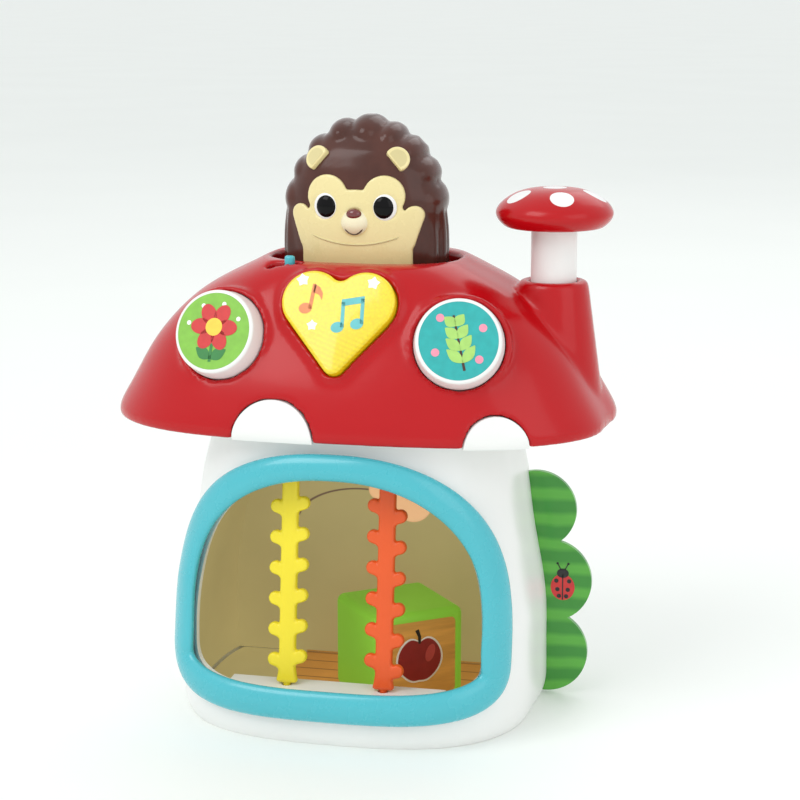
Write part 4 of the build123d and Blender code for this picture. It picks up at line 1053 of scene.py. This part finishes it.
def lock_tree():
    """Rounded locks set on points, as large as their points say."""
    tree, given, result = start_tree("Coat locks")
    for title, kind, value in (
        ("Lock", "NodeSocketObject", None), ("Seed", "NodeSocketInt", 7), ("Least", "NodeSocketFloat", 0.96),
        ("Most", "NodeSocketFloat", 1.04), ("Skin", "NodeSocketMaterial", None),
    ):
        tree_input(tree, title, kind, value)
    nodes, links = tree.nodes, tree.links
    info = nodes.new("GeometryNodeObjectInfo")
    links.new(given.outputs["Lock"], info.inputs["Object"])
    size = nodes.new("GeometryNodeInputNamedAttribute")
    size.data_type = "FLOAT_VECTOR"
    size.inputs["Name"].default_value = "size"
    drift = nodes.new("FunctionNodeRandomValue")
    links.new(given.outputs["Least"], drift.inputs[2])
    links.new(given.outputs["Most"], drift.inputs[3])
    links.new(given.outputs["Seed"], drift.inputs["Seed"])
    scaled = nodes.new("ShaderNodeVectorMath")
    scaled.operation = "SCALE"
    links.new(size.outputs["Attribute"], scaled.inputs[0])
    links.new(drift.outputs[1], scaled.inputs["Scale"])
    place = nodes.new("GeometryNodeInstanceOnPoints")
    links.new(given.outputs["Geometry"], place.inputs["Points"])
    links.new(info.outputs["Geometry"], place.inputs["Instance"])
    links.new(scaled.outputs[0], place.inputs["Scale"])
    return end_tree(tree, given, result, place.outputs[0])


def coat_rows(mesh_data, inset, heights, spokes):
    """Closed rows of points round the coat, a distance below its outside."""
    rows = []
    for height in heights:
        row = []
        for k in range(spokes):
            turn = 2 * math.pi * k / spokes
            point = coat_point(height, turn)
            front = max(0.0, min(1.0, -1.6 * math.sin(turn) - 0.2))
            front *= min(1.0, (HEDGEHOG_LEVELS[-1][0] - height) / (18 * MM))
            crown = max(0.0, min(1.0, (height - 256.0 * MM) / (10.0 * MM)))
            deep = inset if inset > 4 * MM else inset * (0.6 + 0.4 * crown) * (1.0 - 0.92 * front)
            row.append(mesh_data.verts.new(point - coat_facing(height, turn) * deep))
        rows.append(row)
    for lower, upper in zip(rows, rows[1:]):
        for k in range(spokes):
            j = (k + 1) % spokes
            mesh_data.faces.new((lower[k], lower[j], upper[j], upper[k]))
    mesh_data.faces.new(rows[-1])
    return rows


def coat_shell():
    """Hollow coat, open below, that the locks lie on."""
    mesh_data = bmesh.new()
    spokes = 96
    top = HEDGEHOG_LEVELS[-1][0]
    shares = [k / 40 for k in range(40)] + [0.985, 0.998]
    steps = [HEDGEHOG_BOTTOM + (top - HEDGEHOG_BOTTOM) * share for share in shares]
    outer = coat_rows(mesh_data, sizes().coat_inset, steps, spokes)
    inner = coat_rows(mesh_data, 6.0 * MM, [height for height in steps if height < top - 12.0 * MM], spokes)
    for k in range(spokes):
        j = (k + 1) % spokes
        mesh_data.faces.new((outer[0][k], outer[0][j], inner[0][j], inner[0][k]))
    bmesh.ops.recalc_face_normals(mesh_data, faces=mesh_data.faces[:])
    return mesh_data


def coat_locks():
    """Places and sizes of the locks: along the crown and the sides, long strands below, rows behind."""
    places, radii = [], []
    for x, z, lean, across, rise in (
        (2.0, 289.6, 0.0, 9.6, 9.6), (-13.6, 286.6, -26.0, 7.6, 7.6), (16.6, 285.2, 30.0, 7.6, 7.6),
        (-26.4, 277.4, -48.0, 7.8, 7.8), (27.6, 276.6, 50.0, 7.8, 7.8), (-35.0, 265.4, -66.0, 7.6, 8.4),
        (35.4, 265.0, 66.0, 7.6, 8.4), (-39.6, 250.4, -84.0, 7.0, 10.0), (39.8, 250.0, 84.0, 7.0, 10.0),
    ):
        turn = math.radians(lean)
        places.append(((x - across * math.sin(turn)) * MM, 2.5 * MM, (z - rise * math.cos(turn)) * MM))
        radii.append((across * MM, 17.0 * MM, rise * MM))
    for side in (-1, 1):
        for angle, across, deep in ((-30.0, 4.0, 4.4), (-9.0, 4.4, 5.0), (14.0, 4.4, 5.0), (38.0, 4.8, 5.0)):
            turn = math.radians(angle)
            point = coat_point(228.0 * MM, turn)
            facing = coat_facing(228.0 * MM, turn)
            point = point - facing * (across - 0.6) * MM
            places.append((side * point.x, point.y, 226.0 * MM))
            radii.append((across * MM, deep * MM, 25.0 * MM))
    for row, height in enumerate((219.0, 233.0, 247.0, 260.0, 271.0)):
        count = 5 if row < 3 else 4
        for k in range(count):
            turn = math.pi * (0.22 + 0.56 * (k + 0.5 * (row % 2)) / (count - 0.5))
            point = coat_point(height * MM, turn) - coat_facing(height * MM, turn) * 6.4 * MM
            places.append(tuple(point))
            radii.append((8.2 * MM, 7.2 * MM, 9.4 * MM))
    return places, radii


def keep_in_coat(piece, proud):
    """Draws in whatever stands too far out of the coat's own form, and clears its hollow."""
    top = HEDGEHOG_LEVELS[-1][0] - 0.2 * MM
    for vert in piece.data.vertices:
        height = max(HEDGEHOG_BOTTOM, min(top, vert.co.z))
        limit = coat_point(height, math.atan2(vert.co.y, vert.co.x))
        reach = math.hypot(limit.x, limit.y) + proud
        here = math.hypot(vert.co.x, vert.co.y)
        share = min(1.0, reach / max(here, 1e-9))
        if here < COAT_HOLLOW_RADIUS:
            height = max(height, COAT_HOLLOW_TOP)
        vert.co = (vert.co.x * share, vert.co.y * share, height)


class TOY_OT_coat(bpy.types.Operator):
    """Build the hedgehog's coat with its rounded locks"""

    bl_idname = "toy.coat"
    bl_label = "Hedgehog coat"

    def execute(self, context):
        pattern = bmesh.new()
        bmesh.ops.create_icosphere(pattern, subdivisions=4, radius=1.0)
        lock = linked("lock_pattern", pattern)
        places, radii = coat_locks()
        cloud = bpy.data.meshes.new("coat_locks")
        cloud.from_pydata(places, [], [])
        attribute = cloud.attributes.new("size", "FLOAT_VECTOR", "POINT")
        attribute.data.foreach_set("vector", [part for value in radii for part in value])
        piece = bpy.data.objects.new("coat_locks", cloud)
        context.scene.collection.objects.link(piece)
        modifier = piece.modifiers.new("locks", "NODES")
        modifier.node_group = lock_tree()
        brown = material_named("coat plastic")
        set_inputs(modifier, {"Lock": lock, "Seed": sizes().lock_seed, "Skin": brown})
        freeze(piece)
        bpy.data.objects.remove(lock)
        whole = coat_shell()
        whole.from_mesh(piece.data)
        whole.to_mesh(piece.data)
        whole.free()
        soften(piece, sizes().coat_voxel, 7)
        freeze(piece)
        keep_in_coat(piece, 1.0 * MM)
        dress(piece, "coat plastic")
        settle(piece, "hedgehog")
        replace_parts(piece, "hedgehog_back")
        return {"FINISHED"}


def tube(mesh_data, points, radius, spokes=8):
    """Round bead along a line of points, closed at both ends."""
    rings = []
    for i, point in enumerate(points):
        before, after = points[max(0, i - 1)], points[min(len(points) - 1, i + 1)]
        along = (after - before).normalized()
        across = along.cross(Vector((0, -1, 0.2))).normalized()
        up = across.cross(along)
        thin = radius * (0.35 if i in (0, len(points) - 1) else 1.0)
        ring = []
        for k in range(spokes):
            turn = 2 * math.pi * k / spokes
            ring.append(mesh_data.verts.new(point + (across * math.cos(turn) + up * math.sin(turn)) * thin))
        rings.append(ring)
    for lower, upper in zip(rings, rings[1:]):
        for k in range(spokes):
            mesh_data.faces.new((lower[k], lower[(k + 1) % spokes], upper[(k + 1) % spokes], upper[k]))
    mesh_data.faces.new(rings[0])
    mesh_data.faces.new(list(reversed(rings[-1])))


def face_front(x, z):
    """Point on the front of the hedgehog's face."""
    half_width, half_depth = half_sizes(HEDGEHOG_LEVELS, z)
    y = half_depth * (1 - abs(x / half_width) ** HEDGEHOG_SQUARENESS) ** (1 / HEDGEHOG_SQUARENESS)
    return Vector((x, -y - 1.2 * MM, z))


MUZZLE_MIDDLE = (0.0, -20.0 * MM, 240.3 * MM)


class TOY_OT_face(bpy.types.Operator):
    """Build the hedgehog's face, ears, eyes and nose"""

    bl_idname = "toy.face"
    bl_label = "Hedgehog face"

    def execute(self, context):
        face = merged_copy("hedgehog_face", "hedgehog_face_skin")
        filled = bmesh.new()
        filled.from_mesh(face.data)
        for side in (-1, 1):
            self.dome(filled, side, -2.1 * MM, 8.4 * MM, 0.0)
        filled.to_mesh(face.data)
        filled.free()
        soften(face, 0.6 * MM, 6)
        freeze(face)
        dress(face, "cream plastic")
        settle(face, "hedgehog")
        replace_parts(face, "hedgehog_face")
        for node, material, slot, radius, proud in (
            ("hedgehog_eyes", "eye plastic", "black_gloss", 5.0 * MM, 1.9 * MM),
            ("hedgehog_eye_whites", "wall plastic", "white_plastic", 5.7 * MM, 0.9 * MM),
        ):
            mesh_data = bmesh.new()
            outward = 0.5 * MM if material == "wall plastic" else 0.0
            for side in (-1, 1):
                self.dome(mesh_data, side, -0.4 * MM, radius, proud, 1.1, outward)
            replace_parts(new_piece(node + "_domes", mesh_data, material, "hedgehog"), node)
        smooth_stand_in("hedgehog_nose", "nose plastic", "hedgehog", 40)
        self.ears()
        muzzle = bmesh.new()
        place = Matrix.Translation(MUZZLE_MIDDLE) @ Matrix.Diagonal((8.1 * MM, 7.45 * MM, 7.45 * MM, 1.0))
        bmesh.ops.create_uvsphere(muzzle, u_segments=48, v_segments=32, radius=1.0, matrix=place)
        new_piece("hedgehog_muzzle", muzzle, "muzzle plastic", "hedgehog")
        smile = bmesh.new()
        points = []
        for k in range(15):
            share = k / 7 - 1
            x, drop = 4.3 * MM * share, (-5.6 + 2.7 * share * share) * MM
            depth = 0.92 * math.sqrt((8.0 * MM) ** 2 - x * x - (drop / 0.92) ** 2)
            points.append(Vector(MUZZLE_MIDDLE) + Vector((x, -depth, drop)))
        tube(smile, points, 0.42 * MM)
        new_piece("hedgehog_smile", smile, "ink line", "hedgehog")
        # Painted shade: a thin darker cream bead along the chin stands for the shade in the crease between
        # head and body.
        chin = bmesh.new()
        points = []
        for k in range(33):
            share = k / 16 - 1
            points.append(face_front(21.0 * MM * share, (229.6 + 4.0 * share * share) * MM))
        tube(chin, points, 0.5 * MM)
        new_piece("hedgehog_chin_fold", chin, "painted shade cream", "hedgehog")
        return {"FINISHED"}

    def dome(self, mesh_data, side, sink, radius, proud, tall=1.0, outward=0.0):
        """Low dome where an eye sits, standing square to the face."""
        x, z, d = side * (14.0 * MM + outward), 247.5 * MM, 0.5 * MM
        across = (face_front(x + d, z) - face_front(x - d, z)).normalized()
        up = (face_front(x, z + d) - face_front(x, z - d)).normalized()
        facing = across.cross(up).normalized()
        place = Matrix((across, facing, up)).transposed().to_4x4()
        place.translation = face_front(x, z) + facing * sink
        made = bmesh.ops.create_uvsphere(mesh_data, u_segments=40, v_segments=24, radius=1.0)
        size = Matrix.Diagonal((radius, proud - sink, radius * tall, 1.0))
        bmesh.ops.transform(mesh_data, matrix=place @ size, verts=made["verts"])

    def ears(self):
        """Half-round ears whose middles carry painted shade, a flat darker patch standing for a hollow, in
        place of the solids' plain balls.
        """
        pieces = []
        for side, tag in ((-1, "left"), (1, "right")):
            facing = Vector((side * 0.36, -0.84, 0.40)).normalized()
            ground = Frame2D((side * 19.1 * MM, -17.2 * MM, 269.5 * MM), (1, 0, 0), facing)
            aim = math.radians(-45 if side < 0 else -135)
            outline = []
            for k in range(31):
                turn = aim + math.radians(66 + (360 - 132) * k / 30)
                outline.append((math.cos(turn), math.sin(turn)))
            edge = [(u * 5.9 * MM, v * 5.9 * MM) for u, v in outline]
            rim = rounded_plate("hedgehog_ear_" + tag, edge, 4.4 * MM, 1.1 * MM)
            place = Matrix((ground.across, -ground.facing, ground.up)).transposed().to_4x4()
            place.translation = ground.origin
            rim.data.transform(place)
            dress(rim, "cream plastic")
            creased(rim, 50)
            settle(rim, "hedgehog")
            pieces.append(rim)
            # Painted shade: a flat darker patch on the ear stands for the shade in its hollow middle.
            middle = [(u * 4.3 * MM, v * 4.3 * MM) for u, v in outline]
            print_piece(
                "hedgehog_ear_middle_" + tag, ground, [middle], "painted shade cream", "hedgehog", 2.15 * MM,
                1.0,
            )
        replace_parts(pieces[0], "hedgehog_ears")


class TOY_OT_springs(bpy.types.Operator):
    """Build the spring and the rubber domes"""

    bl_idname = "toy.springs"
    bl_label = "Springs and domes"

    def execute(self, context):
        for node, name, material, slot in (
            ("popup_spring", "hedgehog_pop", "bright steel", "steel"),
            ("left_button_dome", "left_button_press", "dome rubber", "rubber"),
            ("right_button_dome", "right_button_press", "dome rubber", "rubber"),
            ("heart_button_dome", "heart_button_press", "dome rubber", "rubber"),
        ):
            piece = smooth_stand_in(node, material, "house")
            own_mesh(piece)
        return {"FINISHED"}


class TOY_OT_plunger(bpy.types.Operator):
    """Build the mushroom plunger"""

    bl_idname = "toy.plunger"
    bl_label = "Plunger"

    def execute(self, context):
        smooth_stand_in("plunger_cap", "roof plastic", "plunger", 35)
        smooth_stand_in("plunger_spots", "wall plastic", "plunger", 35)
        smooth_stand_in("plunger_stem", "wall plastic", "plunger", 35)
        return {"FINISHED"}


class TOY_OT_block(bpy.types.Operator):
    """Build the loose block and print an apple on its panels"""

    bl_idname = "toy.block"
    bl_label = "Loose block"

    def execute(self, context):
        smooth_stand_in("block_body", "block plastic", "block", 35)
        for turn in (38.0, 218.0):
            angle = math.radians(turn)
            facing = Vector((math.sin(angle), -math.cos(angle), 0))
            across = Vector((math.cos(angle), math.sin(angle), 0))
            centre = Vector((18.5 * MM, -11.0 * MM, 4.25 * MM + 24.0 * MM))
            ground = Frame2D(centre + facing * (24.0 - 0.6) * MM, across, facing)
            tag = "front" if turn < 180 else "rear"
            body = apple_points(11.6 * MM)
            print_piece("apple_edge_" + tag, ground, [apple_points(12.6 * MM)], "ink white", "block", 0.0)
            print_piece("apple_" + tag, ground, [body], "ink apple", "block", 0.0, layer=1.6)
            shine = moved(circle_points(2.4 * MM, 20, 1.9), 5.8 * MM, 2.6 * MM, -18)
            print_piece("apple_shine_" + tag, ground, [shine], "ink apple light", "block", 0.0, layer=2.2)
            stalk = in_mm([(-0.7, 8.0), (0.6, 8.0), (0.8, 11.6), (-0.5, 15.4), (-2.3, 14.7), (-0.8, 11.4)])
            print_piece("apple_stalk_" + tag, ground, [stalk], "ink black", "block", 0.0, layer=2.2)
        return {"FINISHED"}


def apple_points(radius, count=60):
    """Round apple with a dip at its top and a slight one below."""
    points = []
    for i in range(count):
        turn = 2 * math.pi * i / count
        up = math.sin(turn)
        dip = 0.24 * math.exp(-((math.cos(turn)) / 0.30) ** 2) * (1.0 if up > 0 else 0.35)
        reach = radius * (1.0 - dip)
        points.append((reach * math.cos(turn) * (1.0 if up > 0 else 1.0 - 0.16 * up * up), reach * up))
    return points


class TOY_OT_bush(bpy.types.Operator):
    """Print a spotted beetle on the bush"""

    bl_idname = "toy.bush"
    bl_label = "Bush print"

    def execute(self, context):
        for tag, y, facing, across in (
            ("front", 14.0 * MM, (0, -1, 0), (1, 0, 0)), ("rear", 17.0 * MM, (0, 1, 0), (-1, 0, 0)),
        ):
            ground = Frame2D((96.5 * MM, y, 57.0 * MM), across, facing)
            wings = [moved(circle_points(6.0 * MM, 36, 1.12), 0.0, -1.0 * MM)]
            head = [moved(circle_points(3.0 * MM, 28, 0.8), 0.0, 6.2 * MM)]
            feelers = []
            for side in (-1, 1):
                feelers.append(moved(bar_points(0.25, 0.0, 3.6), side * 1.0 * MM, 8.0 * MM, -side * 28))
                feelers.append(moved(circle_points(0.6 * MM, 12), side * 2.7 * MM, 11.2 * MM))
            seam = [bar_points(0.3, -7.6, 5.4)]
            dots = [
                moved(circle_points(1.1 * MM, 18), side * u, v)
                for u, v in in_mm([(3.2, 2.2), (2.6, -2.2), (1.8, -5.6)]) for side in (-1, 1)
            ]
            print_piece("beetle_wings_" + tag, ground, wings, "ink red", "house", 0.0)
            marks = head + feelers + seam + dots
            print_piece("beetle_marks_" + tag, ground, marks, "ink black", "house", 0.0, 1.6)
        return {"FINISHED"}


class TOY_OT_stage(bpy.types.Operator):
    """Set the floor, the studio light and the camera"""

    bl_idname = "toy.stage"
    bl_label = "Studio"

    def execute(self, context):
        scene = context.scene
        values = stage_sizes()
        scene.view_settings.view_transform = "Standard"
        paint = Paint("studio floor")
        tone = tuple(palette().floor_pale)
        paint.finish(paint.mottled(tone, 0.01, 3.0), 0.6, grain=0.02, grain_scale=200.0)
        mesh_data = bmesh.new()
        bmesh.ops.create_grid(mesh_data, x_segments=1, y_segments=1, size=30.0)
        floor = linked("studio_floor", mesh_data)
        floor.location.z = -0.05 * MM
        floor.data.materials.append(paint.material)
        world = bpy.data.worlds.new("studio sky")
        world.use_nodes = True
        tree = world.node_tree
        tree.nodes["Background"].inputs["Color"].default_value = (0.97, 0.99, 1.0, 1.0)
        path = tree.nodes.new("ShaderNodeLightPath")
        seen = path.outputs["Is Camera Ray"]
        for ray in ("Is Glossy Ray", "Is Transmission Ray"):
            step = tree.nodes.new("ShaderNodeMath")
            step.operation = "ADD"
            step.use_clamp = True
            tree.links.new(path.outputs[ray], step.inputs[0])
            tree.links.new(seen, step.inputs[1])
            seen = step.outputs[0]
        level = tree.nodes.new("ShaderNodeMapRange")
        level.inputs["To Min"].default_value = values.sky
        level.inputs["To Max"].default_value = values.backdrop
        tree.links.new(seen, level.inputs["Value"])
        tree.links.new(level.outputs["Result"], tree.nodes["Background"].inputs["Strength"])
        scene.world = world
        for title, place, width, power in (
            ("key light", (-0.9, -1.3, 1.7), 1.2, values.key_power),
            ("fill light", (1.6, -1.1, 0.9), 1.4, values.fill_power),
            ("rim light", (0.5, 1.5, 1.6), 1.2, values.rim_power),
        ):
            light = bpy.data.lights.new(title, "AREA")
            light.size = width
            light.energy = power
            lamp = bpy.data.objects.new(title, light)
            lamp.location = place
            aim = Vector((0, 0, 0.15)) - Vector(place)
            lamp.rotation_euler = aim.to_track_quat("-Z", "Y").to_euler()
            scene.collection.objects.link(lamp)
        camera = bpy.data.objects.new("camera", bpy.data.cameras.new("camera"))
        camera.location = values.camera_place
        camera.rotation_euler = Vector(values.camera_aim).to_track_quat("-Z", "Y").to_euler()
        camera.data.lens = values.lens
        camera.data.sensor_width = 36.0
        camera.data.clip_start = 0.01
        scene.collection.objects.link(camera)
        scene.camera = camera
        return {"FINISHED"}


OPERATORS = (
    TOY_OT_finishes, TOY_OT_house, TOY_OT_roof, TOY_OT_ring, TOY_OT_vines, TOY_OT_buttons, TOY_OT_heart,
    TOY_OT_switch, TOY_OT_coat, TOY_OT_face, TOY_OT_springs, TOY_OT_plunger, TOY_OT_block, TOY_OT_bush,
    TOY_OT_stage,
)


class TOY_PT_panel(bpy.types.Panel):
    """Lists the pieces in the sidebar"""

    bl_idname = "TOY_PT_panel"
    bl_label = "Mushroom House Toy"
    bl_space_type = "VIEW_3D"
    bl_region_type = "UI"
    bl_category = "Toy"

    def draw(self, context):
        for operator in OPERATORS:
            self.layout.operator(operator.bl_idname)


CLASSES = (ToyPalette, ToySizes, StageSizes, *OPERATORS, TOY_PT_panel)


def register():
    for item in CLASSES:
        bpy.utils.register_class(item)
    bpy.types.Scene.toy_palette = PointerProperty(type=ToyPalette)
    bpy.types.Scene.toy_sizes = PointerProperty(type=ToySizes)
    bpy.types.Scene.toy_stage = PointerProperty(type=StageSizes)


def unregister():
    del bpy.types.Scene.toy_stage
    del bpy.types.Scene.toy_sizes
    del bpy.types.Scene.toy_palette
    for item in reversed(CLASSES):
        bpy.utils.unregister_class(item)


def main():
    """Builds every piece and the studio."""
    register()
    for operator in OPERATORS:
        group, name = operator.bl_idname.split(".")
        getattr(getattr(bpy.ops, group), name)()


if __name__ == "__main__":
    main()
